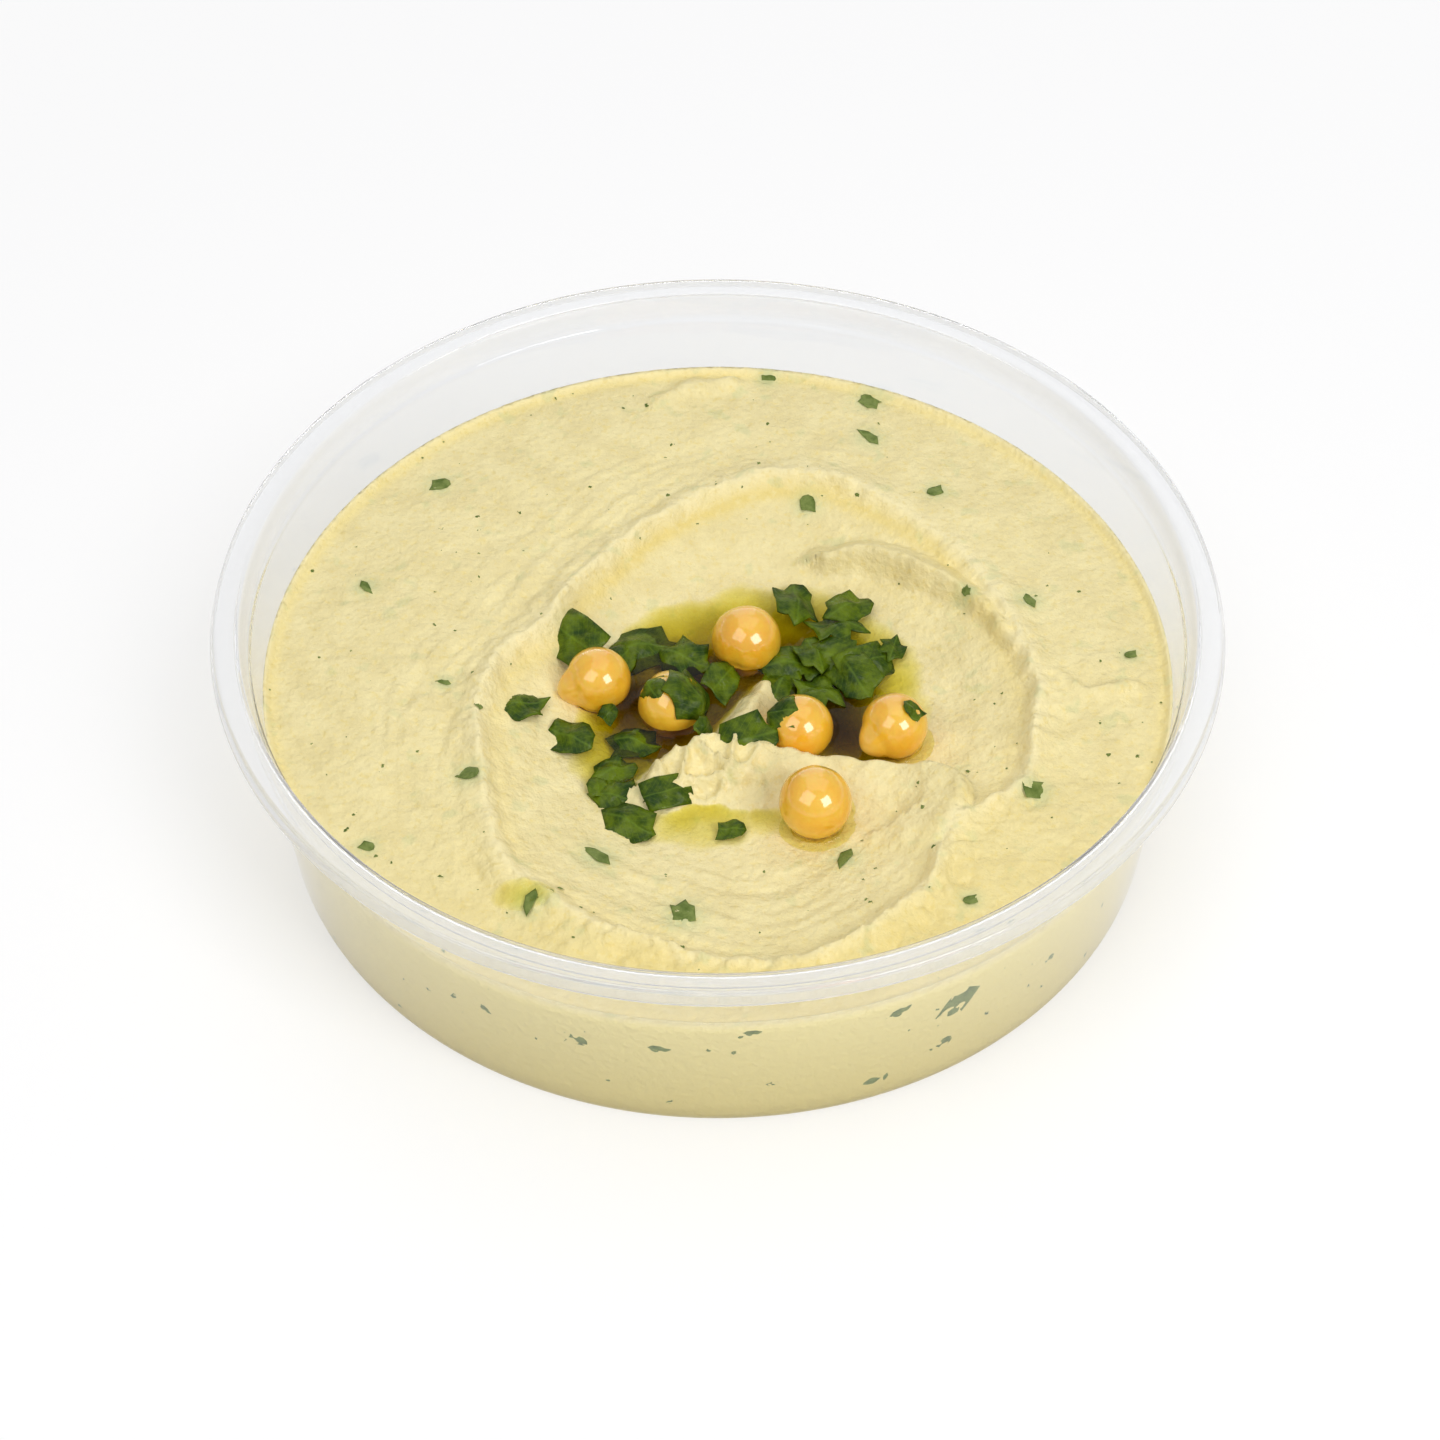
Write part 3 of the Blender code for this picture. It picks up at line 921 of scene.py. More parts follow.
def scatter_tree() -> GeometrySheet:
    """Return a tree that strews kinds of flake over a surface, lying in it at random turns.

    Returns:
        A tree that strews kinds of flake over a surface, lying in it at random turns.
    """
    sheet = GeometrySheet("strewn flakes", (("Kinds", 'NodeSocketCollection', None),
                                            ("Density", 'NodeSocketFloat', 1.0),
                                            ("Smallest", 'NodeSocketFloat', 1.0),
                                            ("Largest", 'NodeSocketFloat', 1.0),
                                            ("Sink", 'NodeSocketFloat', 0.0),
                                            ("Seed", 'NodeSocketInt', 0),
                                            ("Material", 'NodeSocketMaterial', None)))
    spread = sheet.add("GeometryNodeDistributePointsOnFaces", {
        "Mesh": sheet.given["Geometry"], "Density": sheet.given["Density"],
        "Seed": sheet.given["Seed"]})
    kinds = sheet.add("GeometryNodeCollectionInfo", {"Collection": sheet.given["Kinds"],
                                                     "Separate Children": True,
                                                     "Reset Children": True})
    size = sheet.add("FunctionNodeRandomValue", {"Min": 0.0, "Max": 1.0,
                                                 "Seed": sheet.given["Seed"]}, data_type='FLOAT')
    share = sheet.maths('POWER', [s for s in size.outputs if s.enabled][0], 2.5)
    scale = sheet.maths('ADD', sheet.given["Smallest"], sheet.maths(
        'MULTIPLY', share, sheet.maths('SUBTRACT', sheet.given["Largest"],
                                       sheet.given["Smallest"])))
    pick = sheet.add("FunctionNodeRandomValue", data_type='INT')
    whole = [s for s in pick.inputs if s.enabled and s.name in ("Min", "Max")]
    whole[0].default_value = 0
    whole[1].default_value = 99
    angle = sheet.add("FunctionNodeRandomValue", data_type='FLOAT_VECTOR')
    limits = [s for s in angle.inputs if s.enabled and s.name in ("Min", "Max")]
    limits[0].default_value = (-0.35, -0.35, 0.0)
    limits[1].default_value = (0.35, 0.35, math.tau)
    local = sheet.add("FunctionNodeEulerToRotation",
                      {0: [s for s in angle.outputs if s.enabled][0]})
    facing = sheet.add("FunctionNodeRotateRotation", {0: spread.outputs["Rotation"],
                                                      1: local.outputs[0]},
                       rotation_space='LOCAL')
    placed = sheet.add("GeometryNodeInstanceOnPoints", {
        "Points": spread.outputs["Points"], "Instance": kinds.outputs[0], "Pick Instance": True,
        "Instance Index": [s for s in pick.outputs if s.enabled][0],
        "Rotation": facing.outputs[0], "Scale": scale})
    down = sheet.add("ShaderNodeCombineXYZ", {2: sheet.maths('MULTIPLY', sheet.given["Sink"], -1.0)})
    sunk = sheet.add("GeometryNodeTranslateInstances", {0: placed.outputs[0],
                                                        "Translation": down.outputs[0],
                                                        "Local Space": True})
    sheet.finish(sunk.outputs[0])
    return sheet


# ---------------------------------------------------------------- tub

@dataclass
class ClearTub:
    """The clear tub: rounded foot, tapered wall, lid seat, flange and down-turned skirt."""

    flange_inner: float = 58.6
    flange_outer: float = 61.5
    skirt_radius: float = 62.2
    skirt_drop: float = 1.75
    seat_depth: float = 3.5
    seat_step: float = 0.35
    segments: int = 288
    finish: ClearPlasticFinish = field(default_factory=ClearPlasticFinish)

    @staticmethod
    def arc(centre: tuple[float, float], radius: float, start: float, end: float,
            steps: int) -> list[tuple[float, float]]:
        """Return points on an arc in the (radius, height) plane."""
        return [(centre[0] + radius * math.cos(math.radians(a)),
                 centre[1] + radius * math.sin(math.radians(a)))
                for a in np.linspace(start, end, steps)]

    def profile(self) -> list[tuple[float, float]]:
        """Return the closed profile, from the centre of the base round to the centre of the
        floor.

        Returns:
            The closed profile, from the centre of the base round to the centre of the floor.
        """
        top = TUB_HEIGHT
        seat = top - self.seat_depth
        wall_top = inner_wall_radius(seat - self.seat_step)
        seat_radius = wall_top + self.seat_step
        foot = BASE_RADIUS - FOOT_ROUNDING
        lean = math.degrees(math.atan(WALL_SLOPE))
        edge = 0.45
        line = [(0.0, 0.0)]
        line += self.arc((foot, FOOT_ROUNDING), FOOT_ROUNDING, -90.0, -lean, 9)
        line += [(wall_top + WALL - 0.05, seat - self.seat_step - 0.45),
                 (wall_top + WALL + 0.06, seat - self.seat_step - 0.18),
                 (seat_radius + WALL, seat - 0.05),
                 (self.flange_inner + WALL - 0.35, top - WALL - 0.6),
                 (self.flange_inner + WALL - 0.12, top - WALL - 0.15),
                 (self.flange_inner + WALL + 0.25, top - WALL)]
        skirt_in = self.skirt_radius - WALL
        line += self.arc((self.flange_outer - 0.15, top - WALL - 0.3), 0.3, 90.0, 15.0, 4)
        line += [(skirt_in, top - self.skirt_drop + 0.1)]
        line += self.arc((self.skirt_radius - WALL / 2, top - self.skirt_drop + 0.05), WALL / 2,
                         -160.0, -10.0, 5)
        line += self.arc((self.flange_outer + 0.05 - edge / 2, top - edge), edge, 18.0, 90.0, 7)
        line += self.arc((self.flange_inner + 0.4, top - 0.4), 0.4, 90.0, 172.0, 6)
        line += [(seat_radius + 0.12, seat + 0.5), (seat_radius + 0.02, seat + 0.08),
                 (seat_radius - 0.12, seat - 0.08), (wall_top + 0.06, seat - self.seat_step),
                 (wall_top - 0.03, seat - self.seat_step - 0.3)]
        line += self.arc((inner_wall_radius(0.0) - FOOT_ROUNDING + 0.35, FOOT_ROUNDING + 0.2),
                         FOOT_ROUNDING - 0.35, -lean, -90.0, 7)
        line += [(0.0, WALL)]
        return line

    def build(self) -> bpy.types.Object:
        """Returns:
            The finished object.
        """
        line = self.profile()
        points = np.array([(r, 0.0, z) for r, z in line])
        tub = make_mesh_object("clear_tub", points, [])
        lathe_tree().apply(tub, {"Profile Count": len(line), "Segments": self.segments,
                                 "Material": self.finish.make()})
        work = bmesh.new()
        work.from_mesh(tub.data)
        bmesh.ops.recalc_face_normals(work, faces=work.faces)
        work.to_mesh(tub.data)
        work.free()
        tub.data.shade_smooth()
        tub.data.set_sharp_from_angle(angle=math.radians(50.0))
        declare(tub, ["tub"])
        return tub


# ---------------------------------------------------------------- the swirled surface

@dataclass(frozen=True)
class Ridge:
    """A ridge with its own crest line.

    Attributes:
        knots: (x, y, crest height) along the crest.
        left_run, right_run: how far out each flank takes to fall by the drop.
        drop: that fall.
        torn: how ragged the crest is, in millimetres.
    """

    knots: Knots
    left_run: float
    right_run: float
    drop: float = 4.0
    torn: float = 0.25

    def route(self, steps: int = 10) -> Array:
        """Return closely spaced points on a smooth curve through the knots.

        Args:
            steps: how many points it has.

        Returns:
            Closely spaced points on a smooth curve through the knots.
        """
        k = np.array([self.knots[0], *self.knots, self.knots[-1]], float)
        points = [catmull_rom(k[i - 1], k[i], k[i + 1], k[i + 2], step / steps)
                  for i in range(1, len(k) - 2) for step in range(steps)]
        return np.array([*points, k[-1]])

    def measure(self, x: Array, y: Array) -> tuple[Array, Array, Array]:
        """Return each point's distance from the crest, the crest's height there, and the side.

        Args:
            x: how far right the points are, in millimetres.
            y: how far back they are.

        Returns:
            Each point's distance from the crest, the crest's height there, and the side.
        """
        route = self.route()
        best = np.full(x.shape, np.inf)
        crest = np.zeros(x.shape)
        side = np.zeros(x.shape)
        for p, q in zip(route[:-1], route[1:]):
            v = q - p
            t = np.clip(((x - p[0]) * v[0] + (y - p[1]) * v[1]) / (v[0] ** 2 + v[1] ** 2), 0, 1)
            dx = x - p[0] - t * v[0]
            dy = y - p[1] - t * v[1]
            d = np.hypot(dx, dy)
            nearer = d < best
            best = np.where(nearer, d, best)
            crest = np.where(nearer, p[2] + t * v[2], crest)
            side = np.where(nearer, v[0] * dy - v[1] * dx, side)
        return best, crest, side

    def height(self, x: Array, y: Array, noise: GradientNoise) -> Array:
        """Return the ridge's height over each point.

        Args:
            x: how far right the points are, in millimetres.
            y: how far back they are.
            noise: what tears the crest.

        Returns:
            The ridge's height over each point.
        """
        wander = self.torn * 1.5
        px = x + wander * noise.rough(x * 0.3, y * 0.3, 2)
        py = y + wander * noise.rough(x * 0.3 + 31.0, y * 0.3 - 17.0, 2)
        d, crest, side = self.measure(px, py)
        ragged = self.torn * noise.rough(x * 0.42 + 9.0, y * 0.42, 3)
        run = np.where(side > 0.0, self.left_run, self.right_run)
        rounded = np.sqrt(d ** 2 + 0.3) - 0.5477
        return crest + ragged * np.exp(-(d / 1.8) ** 2) - self.drop * rounded / run


@dataclass
class SwirlSurface:
    """The hummus surface: an outer ring, a spooned well, torn crests, streaks and lumps."""

    shore: Knots = ((0, 24.0), (45, 28.0), (90, 25.0), (135, 21.5), (180, 19.0), (225, 21.0),
                    (270, 19.2), (315, 20.5))
    crest: Knots = ((0, 38.4), (30, 39.5), (60, 43.0), (80, 43.0), (103, 35.5), (122, 30.7),
                    (146, 27.4), (164, 29.6), (186, 30.5), (206, 32.4), (224, 36.3), (249, 38.0),
                    (282, 41.0), (309, 37.3), (326, 33.8), (342, 37.6))
    pool_depth: float = 2.6
    bank_curve: float = 1.3
    crest_lift: float = 1.5
    crest_inner_run: float = 1.8
    crest_outer_run: float = 4.2
    wall_climb: float = 0.9
    tongue: Ridge = Ridge(((28.4, -25.5, 22.8), (29.3, -20.5, 23.2), (27.0, -17.4, 22.9),
                           (22.0, -16.0, 21.0), (16.0, -14.4, 20.5), (9.0, -12.8, 20.3),
                           (1.5, -11.2, 20.9), (-3.5, -12.4, 20.4), (-8.2, -15.6, 19.4)),
                          9.0, 2.2)
    fold: Ridge = Ridge(((14.0, 21.5, 20.8), (19.5, 21.3, 22.1), (24.6, 18.9, 22.4),
                         (29.6, 15.6, 22.3), (33.5, 11.5, 22.1), (37.5, 4.0, 22.2)), 5.0, 1.5)
    islet: Ridge = Ridge(((6.0, 0.4, 18.5), (4.5, -3.0, 19.2), (2.0, -8.0, 19.8)), 4.2, 3.2)
    back_lump: Ridge = Ridge(((-8.5, 49.5, 21.6), (-4.0, 52.5, 22.2), (2.0, 53.5, 22.0)), 5.0, 4.0)
    wall_lump: Ridge = Ridge(((42.5, -0.5, 21.6), (46.0, -4.0, 22.0), (51.5, -2.8, 22.1)), 3.0, 4.0)
    deep_spots: Knots = ((-10.0, -1.5, 3.4, 3.6), (16.0, -7.5, 3.4, 3.6), (-2.5, 1.5, 4.5, 2.4),
                         (10.0, 1.5, 6.0, 3.0), (-4.0, -7.5, 3.0, 2.4))
    noise: GradientNoise = field(default_factory=lambda: GradientNoise(11))

    def polar(self, x: Array, y: Array) -> tuple[Array, Array, Array, Array]:
        """Return each point's distance and angle about the well, and the shore and crest there.

        Args:
            x: how far right the points are, in millimetres.
            y: how far back they are.

        Returns:
            Each point's distance and angle about the well, and the shore and crest there.
        """
        n = self.noise
        dx = x - WELL_CENTRE[0]
        dy = y - WELL_CENTRE[1]
        angle = np.degrees(np.arctan2(dy, dx))
        ragged = 0.55 * n.at(x * 0.12, y * 0.12) + 0.34 * n.rough(x * 0.32, y * 0.32 + 5.0, 2)
        shore = ring_radius(self.shore, angle) + 0.8 * n.rough(x * 0.22 + 3.0, y * 0.22, 2)
        return np.hypot(dx, dy), angle, shore, ring_radius(self.crest, angle) + ragged

    def smooth_form(self, x: Array, y: Array) -> Array:
        """Return the broad form: ring, bank, bed and the torn crest.

        Args:
            x: how far right the points are, in millimetres.
            y: how far back they are.

        Returns:
            The broad form: ring, bank, bed and the torn crest.
        """
        rho, angle, shore, crest = self.polar(x, y)
        n = self.noise
        level = FIELD_LEVEL + (WALL_LEVEL - FIELD_LEVEL) * smoothstep(44.0, 56.5, np.hypot(x, y))
        climb = np.clip((rho - shore) / (crest - shore), 0.0, 1.0)
        bank = POOL_LEVEL + (level - POOL_LEVEL) * climb ** self.bank_curve
        shallow = 1.0 - 0.58 * sector(angle, 262.0, 55.0)
        bed = POOL_LEVEL - (self.pool_depth * shallow
                            * (1.0 - np.clip(rho / shore, 0.0, 1.0) ** 2))
        for sx, sy, radius, extra in self.deep_spots:
            bed = bed - extra * np.exp(-((x - sx) ** 2 + (y - sy) ** 2) / radius ** 2)
        height = np.where(rho < shore, bed, bank)
        out = rho - crest
        run = np.where(out > 0.0, self.crest_outer_run, self.crest_inner_run)
        near = np.clip(1.0 - np.sqrt(out ** 2 + 0.1) / run, 0.0, 1.0)
        fade = 1.0 - 0.85 * sector(angle, 44.0, 16.0)
        lift = self.crest_lift * fade * (1.0 + 0.4 * n.rough(x * 0.2, y * 0.2 + 40.0, 2))
        return height + lift * near ** 1.4

    def detail(self, x: Array, y: Array) -> Array:
        """Return the streaks, crags, lumps and grain on top of the broad form.

        Args:
            x: how far right the points are, in millimetres.
            y: how far back they are.

        Returns:
            The streaks, crags, lumps and grain on top of the broad form.
        """
        rho, angle, shore, crest = self.polar(x, y)
        n = self.noise
        turn = np.radians(angle)
        out = rho - crest
        beyond = smoothstep(0.0, 1.5, out)
        warp = 0.7 * n.at(x * 0.11, y * 0.11)
        lines = n.at(out * 0.6 + warp, turn * 3.2) + 0.5 * n.at(out * 1.2 + warp, turn * 5.0 + 20.0)
        left = 0.3 + 0.9 * sector(angle, 165.0, 55.0) + 0.5 * sector(angle, 110.0, 25.0)
        streaks = 0.2 * lines * beyond * left * (1.0 - smoothstep(10.0, 17.0, out))
        climb = np.clip((rho - shore) / (crest - shore), 0.0, 1.0)
        inside = smoothstep(0.1, 0.3, climb) * (1.0 - beyond)
        furrows = (n.at(out * 0.5 + warp, turn * 2.0 + 9.0)
                   + 0.7 * n.at(out * 0.95 + warp, turn * 3.0))
        front = 0.12 + 0.8 * sector(angle, 262.0, 36.0) + 0.25 * sector(angle, 205.0, 25.0)
        streaks = streaks + 0.34 * furrows * inside * front
        crag = n.rough(x * 0.3, y * 0.3, 3)
        lump = n.rough(x * 0.6 + 5.0, y * 0.6, 2)
        band = smoothstep(-1.5, 1.0, out)
        craggy = 1.4 * sector(angle, 285.0, 48.0) * band * (1.0 - smoothstep(3.0, 8.0, out))
        craggy = craggy + 0.5 * sector(angle, 350.0, 32.0) * band * (1.0 - smoothstep(10, 16, out))
        ridge = np.exp(-(out / 2.2) ** 2)
        craggy = craggy + ridge * (0.6 + 0.1 * sector(angle, 0.0, 60.0)) + 0.16 * band * left
        craggy = craggy + 0.05
        broad = 0.22 * n.at(x * 0.09, y * 0.09) + 0.05 * n.rough(x * 0.25, y * 0.25, 2)
        dry = smoothstep(0.0, 0.15, climb)
        grain = 0.045 * n.at(x * 0.9, y * 0.9) * dry
        glints = 0.06 * n.at(x * 0.75, y * 0.75) * inside * sector(angle, 75.0, 60.0)
        mound = np.exp(-(((x + 1.5) / 7.5) ** 2 + ((y + 14.5) / 4.5) ** 2))
        torn = np.clip(1.0 - 2.0 * np.abs(n.rough(x * 0.21, y * 0.21 + 3.0, 2)), 0.0, 1.0)
        small = np.clip(1.0 - 2.4 * np.abs(n.at(x * 0.55 + 8.0, y * 0.55)), 0.0, 1.0)
        peaks = mound * (2.5 * torn ** 1.3 + 0.6 * small ** 1.5 - 0.7)
        wide = np.hypot(x, y)
        held = 1.0 - smoothstep(54.0, 56.2, wide)
        climbing = self.wall_climb * smoothstep(55.2, 56.6, wide) ** 2
        return ((streaks + broad + (0.42 * crag + 0.14 * lump) * craggy) * held
                + peaks + grain + glints + climbing)

    def height(self, x: Array, y: Array) -> Array:
        """Return the height of the finished surface at each point.

        Args:
            x: how far right the points are, in millimetres.
            y: how far back they are.

        Returns:
            The height of the finished surface at each point.
        """
        height = self.smooth_form(x, y)
        for ridge in (self.tongue, self.fold, self.islet, self.back_lump, self.wall_lump):
            height = soft_max(height, ridge.height(x, y, self.noise), 0.3)
        return height + self.detail(x, y)


# ---------------------------------------------------------------- chickpeas

@dataclass(frozen=True)
class Chickpea:
    """One chickpea.

    Attributes:
        node: the solid that it stands for.
        centre: where it sits.
        radius: its radius.
        beak: plan angle and tilt of the way the beak points.
        reach: length of the beak as a share of the radius.
        seed: what makes its skin its own.
    """

    node: str
    centre: tuple[float, float, float]
    radius: float
    beak: tuple[float, float]
    reach: float = 0.17
    seed: int = 1

    def tip(self) -> Vector:
        """Return the direction of the beak."""
        plan, tilt = math.radians(self.beak[0]), math.radians(self.beak[1])
        return Vector((math.cos(tilt) * math.cos(plan), math.cos(tilt) * math.sin(plan),
                       math.sin(tilt)))

    def build(self, material: bpy.types.Material) -> bpy.types.Object:
        """Args:
            material: the finish.

        Returns:
            The finished object.
        """
        ball = bmesh.new()
        bmesh.ops.create_icosphere(ball, subdivisions=5, radius=1.0)
        sphere = np.array([v.co.normalized()[:] for v in ball.verts])
        faces = [tuple(v.index for v in f.verts) for f in ball.faces]
        ball.free()
        tip = np.array(self.tip())
        across = np.array(self.tip().cross(Vector((0.0, 0.0, 1.0))).normalized())
        off_beak = np.degrees(np.arccos(np.clip(sphere @ tip, -1.0, 1.0)))
        off_seam = np.degrees(np.arcsin(np.clip(sphere @ across, -1.0, 1.0)))
        bulge = self.reach * np.exp(-(off_beak / 24.0) ** 2)
        collar = -0.035 * np.exp(-((off_beak - 40.0) / 9.0) ** 2)
        near_beak = np.exp(-((off_beak - 42.0) / 34.0) ** 2)
        seam = 0.05 * near_beak * np.exp(-(off_seam / 11.0) ** 2)
        noise = GradientNoise(self.seed)
        u, v = sphere[:, 0] * 1.3 + sphere[:, 2] * 0.7, sphere[:, 1] * 1.3 - sphere[:, 2] * 0.6
        uneven = 0.012 * noise.at(u * 1.2, v * 1.2)
        wrinkles = 0.004 * noise.rough(u * 5.0, v * 5.0, 2)
        scale = self.radius * (1.0 + bulge + collar - seam + uneven + wrinkles)
        points = np.array(self.centre) + sphere * scale[:, None]
        piece = make_mesh_object(self.node + "_skin", points, faces)
        set_attribute(piece, "beak", 0.75 * np.exp(-(off_beak / 27.0) ** 2))
        piece.data.materials.append(material)
        declare(piece, [self.node])
        return piece


CHICKPEAS = (
    Chickpea("chickpea_back", (3.6, 7.3, 19.1), 4.4, (250.0, -50.0), 0.12, 3),
    Chickpea("chickpea_left", (-15.0, 0.2, 19.2), 4.15, (198.0, -8.0), 0.30, 4),
    Chickpea("chickpea_sunk", (-5.8, -3.3, 18.3), 4.15, (100.0, 20.0), 0.12, 5),
    Chickpea("chickpea_middle", (10.1, -7.8, 18.9), 4.2, (150.0, -35.0), 0.12, 6),
    Chickpea("chickpea_right", (21.8, -8.9, 20.4), 4.1, (215.0, -15.0), 0.26, 7),
    Chickpea("chickpea_front", (11.8, -22.4, 21.3), 4.45, (70.0, -40.0), 0.10, 8),
)


# ---------------------------------------------------------------- hummus

@dataclass
class HummusFill:
    """The hummus: an evenly fine top, and a side that reaches just into the tub wall."""

    surface: SwirlSurface
    cells: int = 272
    side_rings: int = 9
    overlap: float = 0.07
    finish: HummusFinish = field(default_factory=HummusFinish)

    def height(self, x: Array, y: Array) -> Array:
        """Return the surface with the chickpeas pressed into it.

        Args:
            x: how far right the points are, in millimetres.
            y: how far back they are.

        Returns:
            The surface with the chickpeas pressed into it.
        """
        z = self.surface.height(x, y)
        for pea in CHICKPEAS:
            cx, cy, cz = pea.centre
            d = np.hypot(x - cx, y - cy)
            r = pea.radius + 0.05
            under = cz - np.sqrt(np.clip(r ** 2 - d ** 2, 0.0, None))
            z = np.where(d < r, np.minimum(z, under), z)
        return z

    def normal(self, x: float, y: float, reach: float = 0.5) -> Vector:
        """Return the surface's upward normal at a point, averaged over a reach."""
        east, west, north, south = self.height(np.array([x + reach, x - reach, x, x]),
                                               np.array([y, y, y + reach, y - reach]))
        return Vector((west - east, south - north, 2.0 * reach)).normalized()

    def build(self) -> bpy.types.Object:
        """Returns:
            The finished object.
        """
        rim = inner_wall_radius(WALL_LEVEL) + self.overlap
        x, y, quads, border = disc_grid(rim, self.cells)
        top = np.stack([x, y, self.height(x, y)], axis=1)
        edge = top[border]
        plan_angle = np.arctan2(edge[:, 1], edge[:, 0])
        east, north = np.cos(plan_angle), np.sin(plan_angle)
        rows = []
        for share in np.linspace(0.0, 1.0, self.side_rings)[1:]:
            level = edge[:, 2] * (1.0 - share) + FOOT_ROUNDING * share
            radius = inner_wall_radius(0.0) + WALL_SLOPE * level + self.overlap
            rows.append(np.stack([radius * east, radius * north, level], axis=1))
        bend = FOOT_ROUNDING - 0.3
        for turn in np.radians((-25.0, -50.0, -75.0)):
            radius = inner_wall_radius(0.0) - FOOT_ROUNDING + 0.35 + bend * math.cos(turn)
            level = np.full(len(border), FOOT_ROUNDING + 0.2 + bend * math.sin(turn))
            rows.append(np.stack([radius * east, radius * north, level], axis=1))
        points = np.concatenate([top, *rows, [[0.0, 0.0, WALL - 0.1]]])
        count = len(border)
        rings = np.concatenate([border, len(top) + np.arange(count * len(rows))])
        rings = rings.reshape(len(rows) + 1, count)
        ahead = np.roll(rings, -1, axis=1)
        faces = quads.tolist()
        for k in range(len(rows)):
            faces += np.stack([rings[k], rings[k + 1], ahead[k + 1], ahead[k]], axis=1).tolist()
        faces += [(len(points) - 1, int(b), int(a)) for a, b in zip(rings[-1], ahead[-1])]
        piece = make_mesh_object("hummus_swirl", points, faces)
        self.mark(piece, points, len(top))
        piece.data.materials.append(self.finish.make())
        declare(piece, ["hummus"])
        return piece

    def mark(self, piece: bpy.types.Object, points: Array, top_count: int) -> None:
        """Store where the surface is oily, where painted shade goes in its creases, where a painted
        highlight goes on its crests and at its outermost edge, where it is greened, near the wall or
        at the side.

        Args:
            piece: the piece.
            points: its vertices, in millimetres.
            top_count: how many of them are on the top.
        """
        x, y, z = points[:, 0], points[:, 1], points[:, 2]
        rho, angle, shore, crest = self.surface.polar(x, y)
        out = rho - crest
        top = np.arange(len(points)) < top_count
        set_attribute(piece, "film", (1.0 - smoothstep(0.0, 8.0, rho - shore)) * top)
        # Painted shade: the deeper crease tint inside the crest, stronger at the back, and over the
        # front band beyond the crest.
        crease = np.exp(-((out + 2.2) / 1.3) ** 2) * (0.25 + sector(angle, 95.0, 75.0))
        crease = np.maximum(crease, sector(angle, 280.0, 55.0) * smoothstep(-1.0, 2.0, out))
        set_attribute(piece, "crease", crease * top)
        # Painted highlight: the pale edge tint along the crest line.
        set_attribute(piece, "crest", np.exp(-(out / 1.6) ** 2) * top)
        wide = np.hypot(x, y)
        set_attribute(piece, "rim", smoothstep(54.2, 55.8, wide) * top)
        # Painted highlight: the pale edge tint on the outermost rim where the paste meets the wall.
        set_attribute(piece, "edge", smoothstep(56.0, 56.35, wide) * top)
        set_attribute(piece, "side", np.clip((WALL_LEVEL - z) / WALL_LEVEL, 0.0, 1.0) * ~top)
        green = np.zeros(len(points))
        for fleck in FLECKS:
            off = ((x - fleck.x) ** 2 + (y - fleck.y) ** 2) / (fleck.half + 0.5) ** 2
            green = np.maximum(green, np.exp(-off))
        set_attribute(piece, "green", green * top)


# ---------------------------------------------------------------- oil

